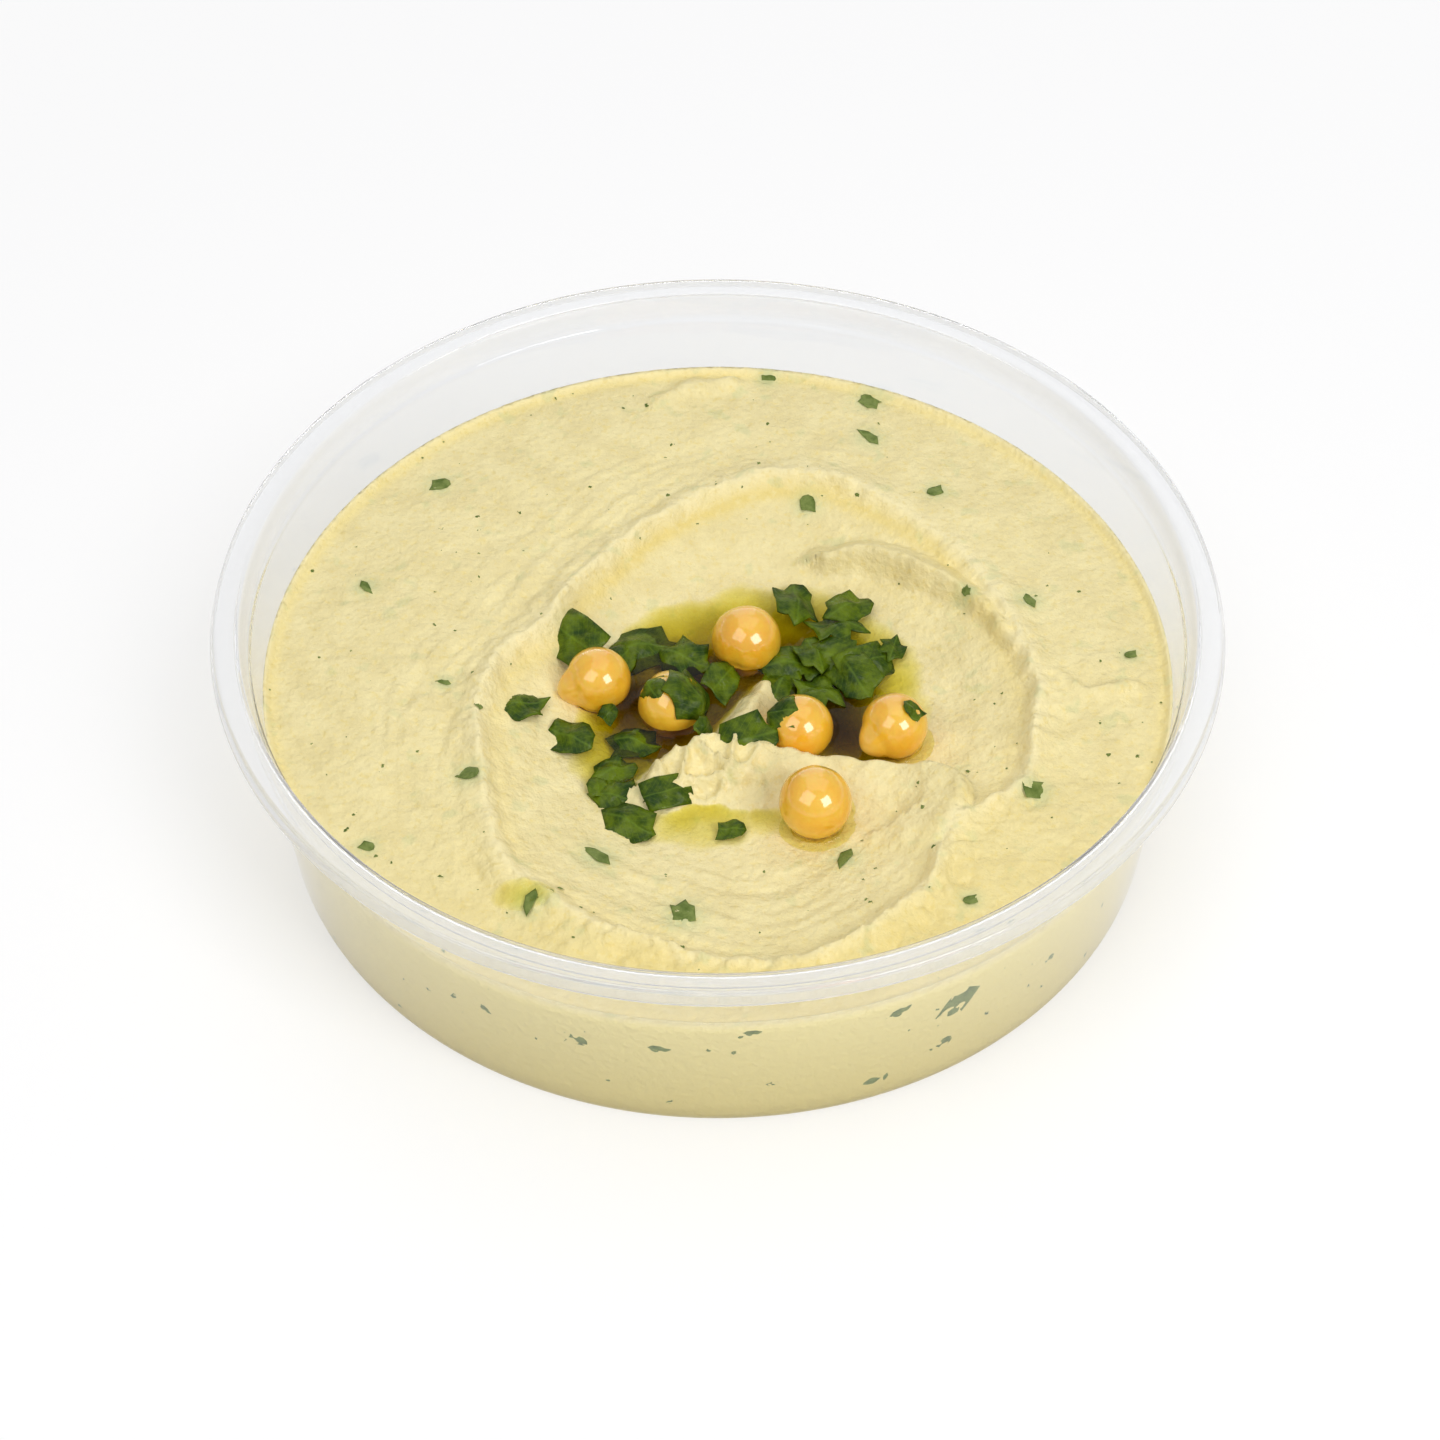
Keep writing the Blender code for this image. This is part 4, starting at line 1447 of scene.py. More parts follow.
@dataclass
class OilPool:
    """The pool of oil: a fine flat sheet that climbs a little against what it touches, closed
    below inside the hummus, with thin films round the two chickpeas that stand clear of it."""

    fill: HummusFill
    rings: int = 90
    segments: int = 300
    climb: float = 0.5
    creep: float = 0.5
    finish: OilFinish = field(default_factory=OilFinish)

    def build(self) -> None:
        material = self.finish.make()
        cx, cy = WELL_CENTRE
        angles = np.arange(self.segments) * 360.0 / self.segments
        c, s = np.cos(np.radians(angles)), np.sin(np.radians(angles))
        reach = ring_radius(self.fill.surface.shore, angles) + 2.0
        x = np.concatenate([cx + reach * k / self.rings * c for k in range(1, self.rings + 1)])
        y = np.concatenate([cy + reach * k / self.rings * s for k in range(1, self.rings + 1)])
        z = np.full(x.shape, POOL_LEVEL)
        for pea in CHICKPEAS:
            gap = pea.centre[2] - POOL_LEVEL
            waterline = math.sqrt(max(pea.radius ** 2 - gap ** 2, 0.0))
            d = np.hypot(x - pea.centre[0], y - pea.centre[1]) - waterline
            z = z + self.climb * np.exp(-np.abs(d) / self.creep)
        bed = self.fill.height(x, y)
        depth = np.clip(POOL_LEVEL - bed, 0.0, None)
        n = self.segments
        top = np.stack([x, y, z], axis=1)
        low = top[-n:].copy()
        low[:, 2] = POOL_LEVEL - 1.5
        points = np.concatenate([[[cx, cy, POOL_LEVEL]], top, low, [[cx, cy, POOL_LEVEL - 8.0]]])
        k = np.arange(n)
        m = (k + 1) % n
        last = 1 + self.rings * n
        faces = [(0, int(1 + a), int(1 + b)) for a, b in zip(k, m)]
        faces += ring_faces(self.rings + 1, n, 1).tolist()
        faces += [(len(points) - 1, int(last + b), int(last + a)) for a, b in zip(k, m)]
        piece = make_mesh_object("oil_surface", points, faces)
        centre_depth = [self.fill.surface.pool_depth]
        set_attribute(piece, "depth", np.concatenate([centre_depth, depth, np.zeros(n), [0.0]]))
        piece.data.materials.append(material)
        declare(piece, ["oil_pool"])
        for number in (4, 5):
            self.collar(CHICKPEAS[number], material)
        self.dab(-22.9, -37.4, 4.2, 2.4, material)

    def collar(self, pea: Chickpea, material: bpy.types.Material) -> None:
        """Make the thin ring of oil where a chickpea rests on the hummus.

        Args:
            pea: the chickpea.
            material: the finish.
        """
        angles = np.linspace(0.0, math.tau, 96, endpoint=False)
        cx, cy, cz = pea.centre
        east, north = np.cos(angles), np.sin(angles)
        touch = 0.93 * pea.radius
        level = self.fill.height(cx + (touch + 1.2) * east, cy + (touch + 1.2) * north)
        rise = np.clip(level + 0.75, cz - pea.radius * 0.8, None)
        reach = np.sqrt(np.clip(pea.radius ** 2 - (rise - cz) ** 2, 0.2, None)) - 0.15
        rows = []
        for share in (0.0, 0.25, 0.5, 0.75, 1.0):
            radius = reach + (0.25 + 1.5 * share)
            x, y = cx + radius * east, cy + radius * north
            ground = self.fill.height(x, y)
            rows.append(np.stack([x, y, ground + (rise - ground) * (1.0 - share) ** 2.2 - 0.02],
                                 axis=1))
        for share in (1.0, 0.5, 0.0):
            radius = reach + (0.1 + 1.4 * share)
            x, y = cx + radius * east, cy + radius * north
            rows.append(np.stack([x, y, self.fill.height(x, y) - 0.3], axis=1))
        rows.append(rows[0])
        points = np.concatenate(rows[:-1])
        faces = ring_faces(8, 96).tolist()
        faces += [(7 * 96 + k, k, (k + 1) % 96, 7 * 96 + (k + 1) % 96) for k in range(96)]
        piece = make_mesh_object(pea.node + "_oil_ring", points, faces)
        set_attribute(piece, "depth", np.full(len(points), 0.22))
        piece.data.materials.append(material)
        declare(piece)

    def dab(self, x: float, y: float, half_x: float, half_y: float,
            material: bpy.types.Material) -> None:
        """Make a small puddle of oil on the front left of the paste.

        Args:
            x: how far right the points are, in millimetres.
            y: how far back they are.
            half_x: half its width from left to right.
            half_y: half its depth from front to back.
            material: the finish.
        """
        gx, gy, quads, border = disc_grid(1.0, 16)
        wide = np.hypot(gx, gy)
        px, py = x + gx * half_x, y + gy * half_y
        ground = self.fill.height(px, py)
        top = np.stack([px, py, ground + 0.22 * (1.0 - wide ** 4) - 0.04], axis=1)
        low = np.stack([px, py, ground - 0.35], axis=1)
        count = len(top)
        faces = quads.tolist() + (quads[:, ::-1] + count).tolist()
        faces += [(int(a), int(a) + count, int(b) + count, int(b))
                  for a, b in zip(border, np.roll(border, -1))]
        piece = make_mesh_object("oil_dab", np.concatenate([top, low]), faces)
        depth = 0.3 * (1.0 - wide ** 2)
        set_attribute(piece, "depth", np.concatenate([depth, np.zeros(count)]))
        piece.data.materials.append(material)
        declare(piece)


# ---------------------------------------------------------------- parsley

class LeafKind(Enum):
    """Shapes of chopped leaf, in the order of their names in the collection."""

    STAR = 0
    LOBED = 1
    STRIP = 2
    CHIP = 3
    SLIVER = 4
    DRAPED = 5


@dataclass(frozen=True)
class LeafShape:
    """How one kind of chopped leaf is cut.

    Attributes:
        teeth: points round its edge.
        depth: how deep the notches are.
        stretch: length over width.
        cup: how far the ends bend down.
        fold: how sharply it folds along its midrib.
        seed: fixes its uneven outline.
        square: how far its outline is drawn out to four corners.
        dome: how far its edge bends down all round.
        uneven: how far its corners stray.
    """

    teeth: int
    depth: float
    stretch: float
    cup: float
    fold: float
    seed: int
    square: float = 0.0
    dome: float = 0.0
    uneven: float = 1.0

    def build(self, name: str, thickness: float = 0.05) -> bpy.types.Object:
        """Return a leaf about 2 units across, centred on the origin, facing up.

        Args:
            name: the piece's name.
            thickness: how thick it is, in its own units.

        Returns:
            A leaf about 2 units across, centred on the origin, facing up.
        """
        dice = np.random.default_rng(self.seed)
        corners = []
        for k in range(2 * self.teeth):
            notch = k % 2 == 1
            radius = 1.0 - self.depth if notch else 1.0
            radius *= 1.0 + self.uneven * dice.uniform(-0.2, 0.16)
            turn = math.tau * (k + self.uneven * dice.uniform(-0.25, 0.25)) / (2 * self.teeth)
            drawn = 1.0 / max(abs(math.cos(turn)), abs(math.sin(turn)))
            radius *= 1.0 + self.square * (drawn - 1.0)
            corners.append((radius * math.cos(turn) * math.sqrt(self.stretch),
                            radius * math.sin(turn) / math.sqrt(self.stretch)))
        outline = []
        for a, b in zip(corners, corners[1:] + corners[:1]):
            for t in (0.0, 0.34, 0.67):
                outline.append((a[0] + (b[0] - a[0]) * t, a[1] + (b[1] - a[1]) * t))
        outline = np.array(outline)
        n = len(outline)
        noise = GradientNoise(self.seed + 50)
        rows = np.concatenate([outline * share for share in (1.0, 0.8, 0.55, 0.3)] + [[[0.0, 0.0]]])
        px, py = rows[:, 0], rows[:, 1]
        lift = (-self.cup * px ** 2 - self.fold * np.abs(py) - self.dome * (px ** 2 + py ** 2)
                + 0.22 * noise.at(px * 1.3, py * 1.3) + 0.04 * noise.at(px * 4.0, py * 4.0))
        upper = np.stack([px, py, lift + thickness / 2], axis=1)
        lower = np.stack([px, py, lift - thickness / 2], axis=1)
        points = np.concatenate([upper, lower])
        total = len(rows)
        faces = []
        for k in range(n):
            m = (k + 1) % n
            for row in range(3):
                a, b = row * n, (row + 1) * n
                faces.append((a + k, a + m, b + m, b + k))
                faces.append((total + a + m, total + a + k, total + b + k, total + b + m))
            faces.append((3 * n + k, 3 * n + m, total - 1))
            faces.append((total + 3 * n + m, total + 3 * n + k, 2 * total - 1))
            faces.append((k, total + k, total + m, m))
        leaf = make_mesh_object(name, points / MM, faces)
        chart = leaf.data.uv_layers.new(name="leaf")
        flat = np.concatenate([rows, rows])
        for loop in leaf.data.loops:
            chart.data[loop.index].uv = flat[loop.vertex_index]
        return leaf


LEAF_SHAPES = {
    LeafKind.STAR: LeafShape(6, 0.30, 1.05, 0.14, 0.16, 21),
    LeafKind.LOBED: LeafShape(6, 0.28, 1.3, 0.20, 0.26, 34, uneven=1.3),
    LeafKind.STRIP: LeafShape(4, 0.04, 1.5, 0.10, 0.14, 45, square=0.9, uneven=0.4),
    LeafKind.CHIP: LeafShape(5, 0.14, 1.15, 0.10, 0.14, 57, square=0.4),
    LeafKind.SLIVER: LeafShape(3, 0.20, 2.6, 0.15, 0.10, 63),
    LeafKind.DRAPED: LeafShape(6, 0.18, 1.3, 0.0, 0.0, 75, dome=0.42),
}


@dataclass(frozen=True)
class Leaf:
    """One piece of parsley: where its middle is, its half length, its turn and its tilts."""

    x: float
    y: float
    z: float
    half: float
    turn: float
    kind: LeafKind
    tip: float = 0.0
    roll: float = 0.0
    outward: Optional[tuple[float, float, float]] = None

    def euler(self) -> tuple[float, float, float]:
        """Return the leaf's rotation: tilted first, then turned, then faced outward if perched.

        Returns:
            The leaf's rotation: tilted first, then turned, then faced outward if perched.
        """
        if self.outward:
            lean = Vector(self.outward).to_track_quat('Z', 'Y')
            return (lean @ Euler((0.0, 0.0, math.radians(self.turn))).to_quaternion()).to_euler()[:]
        flat = Euler((math.radians(self.roll), math.radians(self.tip), 0.0)).to_matrix()
        spin = Euler((0.0, 0.0, math.radians(self.turn))).to_matrix()
        return (spin @ flat).to_euler()[:]


def perched(pea: int, plan: float, rise: float, half: float, turn: float,
            kind: LeafKind = LeafKind.DRAPED) -> Leaf:
    """Return a leaf that lies on a chickpea.

    Args:
        pea: which chickpea.
        plan, rise: plan angle and height angle of the spot, seen from its centre.
        half: the leaf's half length.
        turn: its turn about the way out of the chickpea.
        kind: its shape.

    Returns:
        The leaf.
    """
    under = CHICKPEAS[pea]
    a, b = math.radians(plan), math.radians(rise)
    way = Vector((math.cos(a) * math.cos(b), math.sin(a) * math.cos(b), math.sin(b)))
    spot = Vector(under.centre) + way * (under.radius * 1.02 + 0.12)
    return Leaf(*spot, half, turn, kind, outward=tuple(way))


PARSLEY = (
    Leaf(-18.6, 6.5, 20.6, 4.0, 128.0, LeafKind.STRIP, 12.0, -28.0),
    Leaf(-24.3, -4.5, 19.9, 3.4, 20.0, LeafKind.STAR, 4.0, -14.0),
    Leaf(-18.7, -8.9, 18.8, 3.4, -35.0, LeafKind.CHIP, -6.0, 6.0),
    Leaf(-8.6, 7.4, 18.2, 4.7, 10.0, LeafKind.LOBED, 4.0, 5.0),
    Leaf(-4.2, 5.2, 18.2, 3.8, -30.0, LeafKind.STAR, 0.0, 8.0),
    perched(2, -12.0, 47.0, 3.9, 60.0),
    perched(2, 184.0, 52.0, 2.3, 20.0),
    Leaf(0.5, 0.8, 18.7, 2.9, 60.0, LeafKind.CHIP, 5.0, 20.0),
    Leaf(4.0, -11.4, 20.9, 4.3, 15.0, LeafKind.LOBED, -8.0, 34.0),
    perched(3, 188.0, 48.0, 2.8, 70.0),
    Leaf(10.1, 14.6, 19.7, 3.8, 95.0, LeafKind.LOBED, 8.0, 20.0),
    Leaf(17.2, 13.2, 19.8, 3.5, 35.0, LeafKind.LOBED, 10.0, 6.0),
    Leaf(15.0, 10.2, 19.2, 3.8, 170.0, LeafKind.STAR, 5.0, 12.0),
    Leaf(22.2, 6.5, 18.7, 2.1, 75.0, LeafKind.STAR, 0.0, 8.0),
    Leaf(9.8, 3.9, 18.5, 4.2, 5.0, LeafKind.LOBED, 6.0, 10.0),
    Leaf(14.6, 4.4, 19.2, 4.0, -25.0, LeafKind.LOBED, -6.0, 22.0),
    Leaf(17.2, 0.9, 19.2, 4.1, -60.0, LeafKind.LOBED, 10.0, 18.0),
    Leaf(12.6, -0.6, 18.4, 3.5, 150.0, LeafKind.STAR, 0.0, 6.0),
    Leaf(-9.9, -9.2, 18.1, 3.5, -15.0, LeafKind.LOBED, 0.0, 0.0),
    Leaf(-12.3, -13.9, 18.2, 3.1, 30.0, LeafKind.LOBED, 5.0, 4.0),
    Leaf(-12.2, -18.6, 18.2, 3.4, -10.0, LeafKind.STAR, 0.0, 6.0),
    Leaf(-10.4, -23.2, 18.5, 3.8, -30.0, LeafKind.LOBED, 4.0, 10.0),
    Leaf(-6.1, -18.6, 19.2, 2.6, 22.0, LeafKind.STRIP, 6.0, 24.0),
    Leaf(1.5, -23.9, 18.2, 1.8, 0.0, LeafKind.CHIP, 0.0, 4.0),
    Leaf(-13.6, -5.0, 18.7, 1.5, 60.0, LeafKind.CHIP, 0.0, 15.0),
    perched(4, -16.0, 56.0, 1.5, 75.0, LeafKind.CHIP),
    Leaf(-1.6, -8.8, 19.7, 1.9, 70.0, LeafKind.CHIP, 10.0, 50.0),
    Leaf(-14.6, -17.3, 18.4, 1.7, 100.0, LeafKind.CHIP, 0.0, 5.0),
    Leaf(8.2, 1.6, 18.2, 3.4, 70.0, LeafKind.LOBED, 4.0, 4.0),
    Leaf(12.2, 6.0, 19.0, 3.3, 110.0, LeafKind.LOBED, 8.0, 14.0),
    Leaf(18.6, 3.6, 19.0, 3.0, 30.0, LeafKind.STRIP, 6.0, 24.0),
    Leaf(-12.4, 4.6, 18.2, 2.6, 60.0, LeafKind.CHIP, 0.0, 6.0),
)


def leaf_collection(name: str) -> bpy.types.Collection:
    """Return a collection, outside the scene, of one leaf of each kind in order.

    Args:
        name: the piece's name.

    Returns:
        A collection, outside the scene, of one leaf of each kind in order.
    """
    kinds = bpy.data.collections.new(name)
    for kind, shape in LEAF_SHAPES.items():
        leaf = shape.build("leaf_%d" % kind.value)
        bpy.context.collection.objects.unlink(leaf)
        kinds.objects.link(leaf)
    return kinds


@dataclass
class ParsleyGarnish:
    """All chopped parsley on top, placed one by one and joined to one piece."""

    leaves: Sequence[Leaf] = PARSLEY
    finish: LeafFinish = field(default_factory=LeafFinish)

    def build(self) -> bpy.types.Object:
        """Returns:
            The finished object.
        """
        kinds = leaf_collection("leaf kinds")
        points = np.array([(leaf.x, leaf.y, leaf.z) for leaf in self.leaves])
        piece = make_mesh_object("parsley", points, [])
        set_attribute(piece, "turn", [leaf.euler() for leaf in self.leaves])
        set_attribute(piece, "size", [(leaf.half * MM,) * 3 for leaf in self.leaves])
        set_kinds(piece, [leaf.kind.value for leaf in self.leaves])
        placing_tree().apply(piece, {"Kinds": kinds, "Material": self.finish.make()})
        for leaf in list(kinds.objects):
            bpy.data.objects.remove(leaf, do_unlink=True)
        bpy.data.collections.remove(kinds)
        declare(piece)
        return piece


# ---------------------------------------------------------------- flecks in the paste

@dataclass(frozen=True)
class Fleck:
    """One larger fleck of herb in the top of the paste."""

    x: float
    y: float
    half: float
    turn: float
    kind: LeafKind


FLECKS = (
    Fleck(20.1, 50.6, 1.6, 10.0, LeafKind.LOBED),
    Fleck(20.1, 43.1, 1.5, 20.0, LeafKind.SLIVER),
    Fleck(28.4, 32.6, 1.1, 10.0, LeafKind.CHIP),
    Fleck(-36.4, 34.2, 1.3, 70.0, LeafKind.CHIP),
    Fleck(-44.9, 14.9, 1.1, 50.0, LeafKind.SLIVER),
    Fleck(-34.0, -2.1, 0.8, 60.0, LeafKind.SLIVER),
    Fleck(-30.3, -18.0, 1.4, 70.0, LeafKind.CHIP),
    Fleck(-42.0, -29.2, 0.9, 10.0, LeafKind.CHIP),
    Fleck(-22.1, -38.5, 1.5, -25.0, LeafKind.SLIVER),
    Fleck(-14.4, -28.6, 1.8, -10.0, LeafKind.SLIVER),
    Fleck(-4.1, -39.0, 2.0, 25.0, LeafKind.LOBED),
    Fleck(38.5, -20.5, 1.4, -50.0, LeafKind.STRIP),
    Fleck(29.9, -37.8, 0.9, 30.0, LeafKind.CHIP),
    Fleck(39.5, 12.4, 1.3, -10.0, LeafKind.SLIVER),
    Fleck(51.8, 3.0, 0.8, 0.0, LeafKind.CHIP),
    Fleck(11.7, 31.2, 1.3, 100.0, LeafKind.CHIP),
    Fleck(31.5, 13.4, 0.8, 0.0, LeafKind.STAR),
    Fleck(15.3, -28.7, 1.5, 25.0, LeafKind.SLIVER),
    Fleck(6.7, 55.0, 1.0, 0.0, LeafKind.CHIP),
)


@dataclass(frozen=True)
class SideFleck:
    """One larger fleck that shows through the wall, at a plan angle and a height."""

    angle: float
    z: float
    half: float
    turn: float
    kind: LeafKind


SIDE_FLECKS = (
    SideFleck(-60.0, 15.3, 2.3, 60.0, LeafKind.STRIP),
    SideFleck(-70.0, 4.8, 1.8, 25.0, LeafKind.LOBED),
    SideFleck(-68.0, 18.3, 1.4, 30.0, LeafKind.SLIVER),
    SideFleck(-107.0, 14.6, 1.2, -20.0, LeafKind.CHIP),
    SideFleck(-97.0, 15.6, 1.3, 5.0, LeafKind.SLIVER),
    SideFleck(-86.0, 19.4, 1.0, 8.0, LeafKind.SLIVER),
    SideFleck(-119.0, 14.7, 0.9, -35.0, LeafKind.SLIVER),
    SideFleck(-61.0, 7.6, 1.1, 40.0, LeafKind.CHIP),
    SideFleck(-45.0, 12.4, 0.8, 20.0, LeafKind.CHIP),
)


@dataclass
class HerbFlecks:
    """Herb flecks in the paste: the larger ones listed, small ones strewn on top and side."""

    fill: HummusFill
    finish: MoistFinish = MoistFinish("herb fleck", linear(132, 146, 78), linear(88, 108, 44),
                                      0.6, 2.0, (0.35, 0.55), 0.05, ior=1.25)

    def larger(self, name: str, kinds: bpy.types.Collection,
               material: bpy.types.Material) -> bpy.types.Object:
        """Return the larger flecks, each lying in the surface where it is.

        Args:
            name: the piece's name.
            kinds: the collection of leaf shapes.
            material: the finish.

        Returns:
            The larger flecks, each lying in the surface where it is.
        """
        x = np.array([f.x for f in FLECKS])
        y = np.array([f.y for f in FLECKS])
        z = self.fill.height(x, y) + 0.12
        piece = make_mesh_object(name, np.stack([x, y, z], axis=1), [])
        turns = []
        for fleck in FLECKS:
            lean = self.fill.normal(fleck.x, fleck.y, 0.9).to_track_quat('Z', 'Y')
            spin = Euler((0.0, 0.0, math.radians(fleck.turn))).to_quaternion()
            turns.append((lean @ spin).to_euler()[:])
        return self.place(piece, FLECKS, turns, kinds, material)

    def pressed(self, name: str, kinds: bpy.types.Collection,
                material: bpy.types.Material) -> bpy.types.Object:
        """Return the larger flecks that lie against the wall.

        Args:
            name: the piece's name.
            kinds: the collection of leaf shapes.
            material: the finish.

        Returns:
            The larger flecks that lie against the wall.
        """
        spots = []
        turns = []
        for fleck in SIDE_FLECKS:
            a = math.radians(fleck.angle)
            radius = inner_wall_radius(fleck.z) + self.fill.overlap + 0.02
            spots.append((radius * math.cos(a), radius * math.sin(a), fleck.z))
            lean = Vector((math.cos(a), math.sin(a), -WALL_SLOPE)).to_track_quat('Z', 'Y')
            spin = Euler((0.0, 0.0, math.radians(fleck.turn))).to_quaternion()
            turns.append((lean @ spin).to_euler()[:])
        piece = make_mesh_object(name, np.array(spots), [])
        return self.place(piece, SIDE_FLECKS, turns, kinds, material)

    @staticmethod
    def place(piece: bpy.types.Object, flecks: Sequence[Fleck | SideFleck], turns: list,
              kinds: bpy.types.Collection, material: bpy.types.Material) -> bpy.types.Object:
        """Put each fleck on its point, thinned so that it lies nearly flat.

        Args:
            piece: the piece.
            flecks: the flecks, in the order of the points.
            turns: the rotation of each.
            kinds: the collection of leaf shapes.
            material: the finish.

        Returns:
            The finished object.
        """
        set_attribute(piece, "turn", turns)
        set_attribute(piece, "size", [(f.half * MM, f.half * MM, 0.25 * MM) for f in flecks])
        set_kinds(piece, [f.kind.value for f in flecks])
        return placing_tree().apply(piece, {"Kinds": kinds, "Material": material})

    def build(self) -> None:
        """Build, dress and declare all flecks."""
        material = self.finish.make()
        kinds = leaf_collection("fleck kinds")
        large = self.larger("herb_flecks_large", kinds, material)
        pressed = self.pressed("herb_flecks_pressed", kinds, material)
        x, y, quads, _ = disc_grid(inner_wall_radius(WALL_LEVEL) - 0.6, 70)
        mid_x, mid_y = x[quads].mean(axis=1), y[quads].mean(axis=1)
        rho, _, shore, _ = self.fill.surface.polar(mid_x, mid_y)
        top = make_mesh_object("herb_flecks_top", np.stack([x, y, self.fill.height(x, y)], axis=1),
                               quads[rho > shore + 3.0])
        angles = np.linspace(0.0, math.tau, 180, endpoint=False)
        rows = []
        for level in np.linspace(2.6, 19.8, 8):
            radius = inner_wall_radius(level) + self.fill.overlap + 0.02
            rows.append(np.stack([radius * np.cos(angles), radius * np.sin(angles),
                                  np.full(180, level)], axis=1))
        side = make_mesh_object("herb_flecks_side", np.concatenate(rows),
                                ring_faces(8, 180)[:, ::-1])
        tree = scatter_tree()
        for piece, density, largest, seed in ((top, 20000.0, 0.5, 5), (side, 14000.0, 0.6, 9)):
            tree.apply(piece, {"Kinds": kinds, "Density": density, "Smallest": 0.1 * MM,
                               "Largest": largest * MM, "Seed": seed, "Material": material})
        for leaf in list(kinds.objects):
            bpy.data.objects.remove(leaf, do_unlink=True)
        bpy.data.collections.remove(kinds)
        for piece in (large, pressed, top, side):
            declare(piece)


# ---------------------------------------------------------------- studio

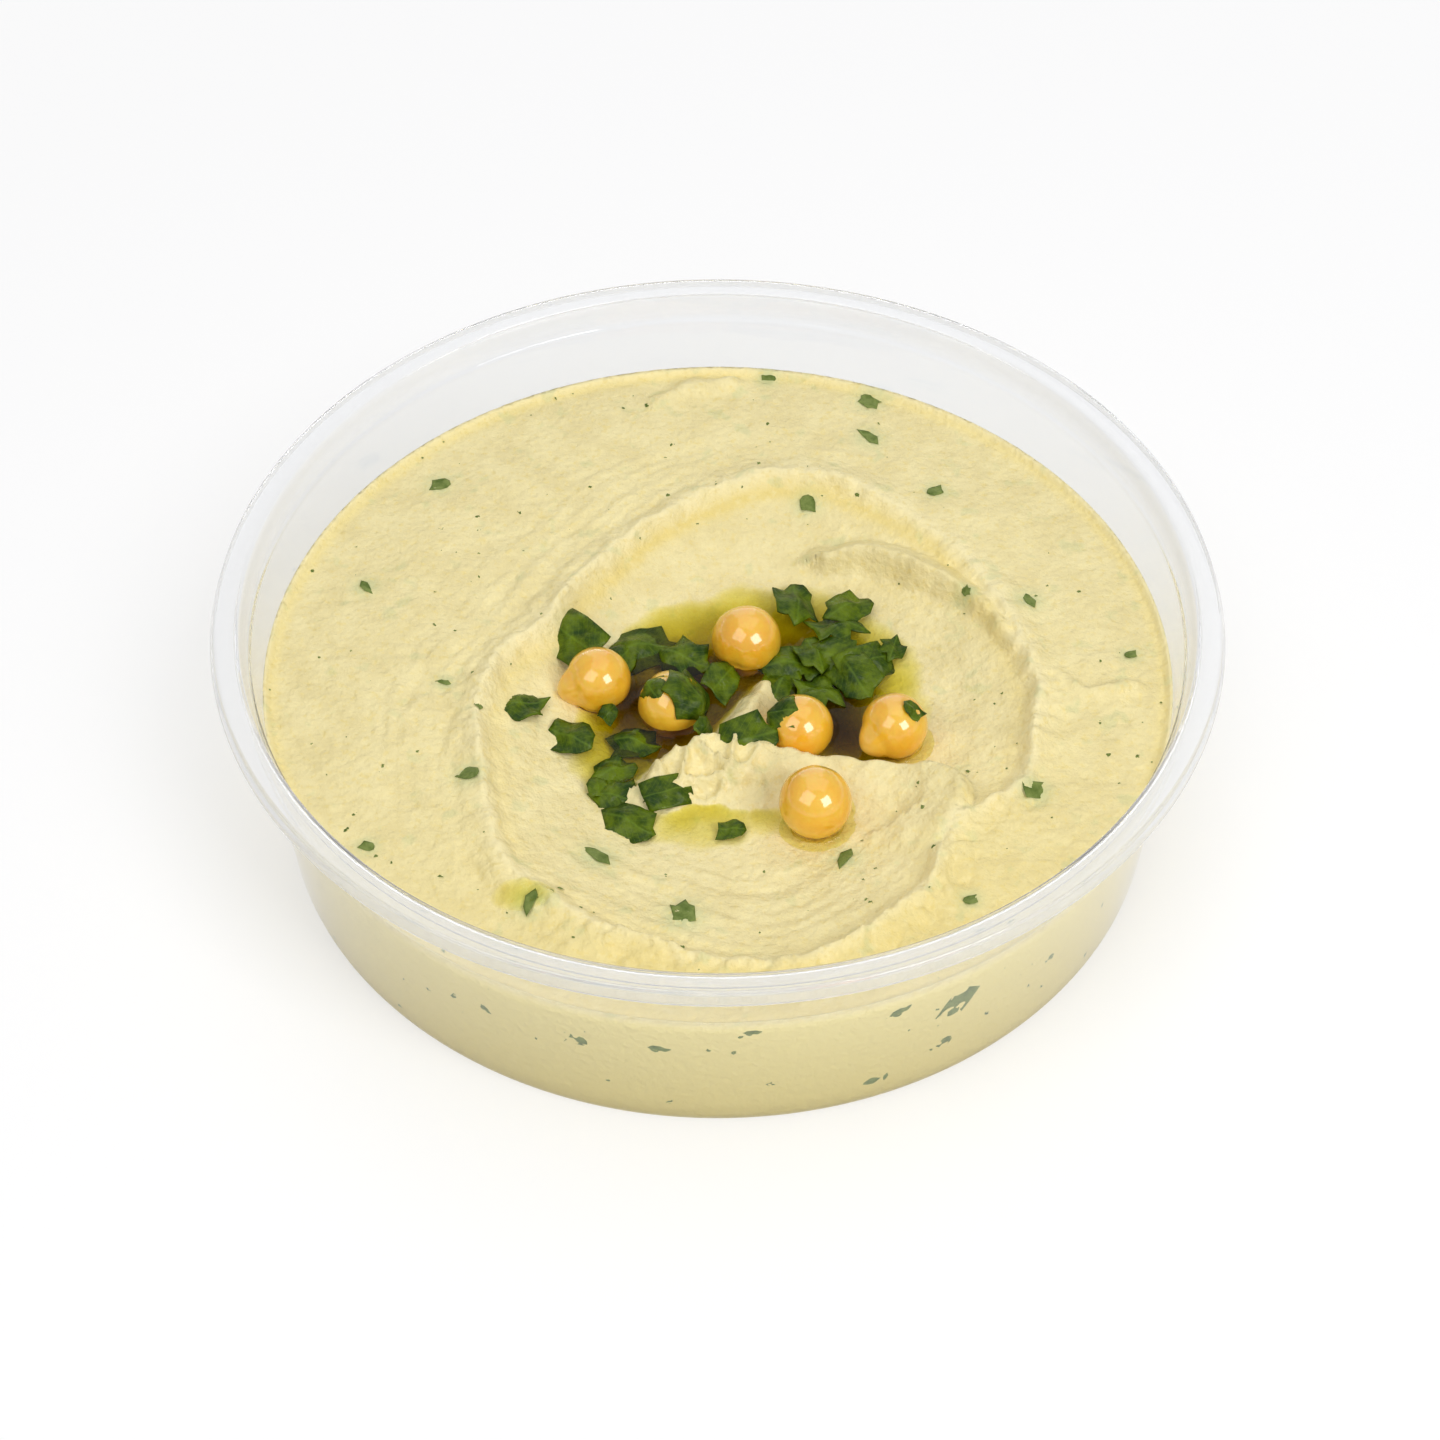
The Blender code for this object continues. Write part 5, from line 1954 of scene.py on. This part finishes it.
@dataclass
class Studio:
    """White floor, soft white light from both sides, and the camera."""

    elevation: float = 46.49
    distance: float = 492.0
    lens: float = 97.24
    aim: tuple[float, float, float] = (0.27, 0.0, 12.1)

    def camera(self) -> None:
        """Add the camera."""
        data = bpy.data.cameras.new("camera")
        data.lens = self.lens
        data.sensor_width = 36.0
        data.clip_start = 0.01
        data.clip_end = 20.0
        eye = bpy.data.objects.new("camera", data)
        tilt = math.radians(self.elevation)
        back = Vector((0.0, -math.cos(tilt), math.sin(tilt)))
        eye.location = Vector(self.aim) * MM + back * self.distance * MM
        eye.rotation_euler = (-back).to_track_quat('-Z', 'Y').to_euler()
        bpy.context.collection.objects.link(eye)
        bpy.context.scene.camera = eye

    def lamp(self, name: str, azimuth: float, elevation: float, size: float, power: float,
             reach: float = 0.9) -> None:
        """Add a square white lamp that faces the tub.

        Args:
            name: the lamp's name.
            azimuth: plan angle of the way to it, anticlockwise from +X.
            elevation: its angle above the floor.
            size: its side in metres.
            power: in watts.
            reach: its distance in metres.
        """
        data = bpy.data.lights.new(name, 'AREA')
        data.shape = 'SQUARE'
        data.size = size
        data.energy = power
        a, e = math.radians(azimuth), math.radians(elevation)
        way = Vector((math.cos(a) * math.cos(e), math.sin(a) * math.cos(e), math.sin(e)))
        lamp = bpy.data.objects.new(name, data)
        lamp.location = way * reach
        lamp.rotation_euler = (-way).to_track_quat('-Z', 'Y').to_euler()
        bpy.context.collection.objects.link(lamp)

    def floor(self) -> None:
        """Add the pale floor, which shows white to the camera but keeps the tub's shadow."""
        half = 6000.0
        corners = np.array([(-half, -half, 0.0), (half, -half, 0.0), (half, half, 0.0),
                            (-half, half, 0.0)])
        floor = make_mesh_object("studio_floor", corners, [(0, 1, 2, 3)])
        material, sheet, output = new_material("studio floor")
        plain = sheet.add("ShaderNodeBsdfDiffuse", {"Color": (0.86, 0.86, 0.86, 1.0)})
        faint = sheet.add("ShaderNodeBsdfDiffuse", {"Color": (0.52, 0.52, 0.525, 1.0)})
        glow = sheet.add("ShaderNodeEmission", {"Color": (1.0, 1.0, 1.0, 1.0), "Strength": 0.505})
        both = sheet.add("ShaderNodeAddShader", {0: faint.outputs[0], 1: glow.outputs[0]})
        place = sheet.add("ShaderNodeTexCoord").outputs["Object"]
        away = sheet.add("ShaderNodeVectorMath", {0: place}, operation='LENGTH').outputs["Value"]
        far = sheet.add("ShaderNodeEmission", {"Color": (1.0, 1.0, 1.0, 1.0), "Strength": 0.99})
        shown = sheet.add("ShaderNodeMixShader", {0: sheet.ramp(away, 0.14, 0.36),
                                                  1: both.outputs[0], 2: far.outputs[0]})
        path = sheet.add("ShaderNodeLightPath").outputs
        seen = sheet.maths('MAXIMUM', path["Is Camera Ray"],
                           sheet.maths('MAXIMUM', path["Is Glossy Ray"],
                                       path["Is Transmission Ray"]))
        blend = sheet.add("ShaderNodeMixShader", {0: seen, 1: plain.outputs[0],
                                                  2: shown.outputs[0]})
        sheet.tree.links.new(blend.outputs[0], output.inputs["Surface"])
        floor.data.materials.append(material)

    def world(self) -> None:
        """Make the surroundings: white to look at, and a gentle even light."""
        world = bpy.data.worlds.new("studio")
        world.use_nodes = True
        world.node_tree.nodes.clear()
        sheet = NodeSheet(world.node_tree)
        path = sheet.add("ShaderNodeLightPath").outputs
        seen = sheet.maths('MAXIMUM', path["Is Camera Ray"], path["Is Transmission Ray"])
        mirrored = sheet.maths('MULTIPLY', path["Is Glossy Ray"], 0.3)
        strength = sheet.maths('ADD', 0.27, sheet.maths('MULTIPLY', 0.72, sheet.maths(
            'MAXIMUM', seen, mirrored)))
        glow = sheet.add("ShaderNodeBackground", {"Color": (1.0, 1.0, 1.0, 1.0),
                                                  "Strength": strength})
        sheet.add("ShaderNodeOutputWorld", {"Surface": glow.outputs[0]})
        bpy.context.scene.world = world

    def build(self) -> None:
        """Build the whole studio."""
        self.camera()
        self.lamp("key", -46.0, 40.0, 0.42, 3.6)
        self.lamp("fill", -133.0, 53.0, 0.62, 2.4)
        self.lamp("top", 80.0, 70.0, 0.9, 1.75)
        self.lamp("back", 95.0, 20.0, 0.7, 1.1)
        self.floor()
        self.world()
        bpy.context.scene.view_settings.view_transform = 'Standard'


def main() -> None:
    """Build every piece and the studio."""
    logging.basicConfig(level=logging.INFO, format="%(name)s %(message)s")
    ClearTub().build()
    fill = HummusFill(SwirlSurface())
    fill.build()
    skin = ChickpeaFinish().make()
    for pea in CHICKPEAS:
        pea.build(skin)
    OilPool(fill).build()
    ParsleyGarnish().build()
    HerbFlecks(fill).build()
    Studio().build()


if __name__ == "__main__":
    main()
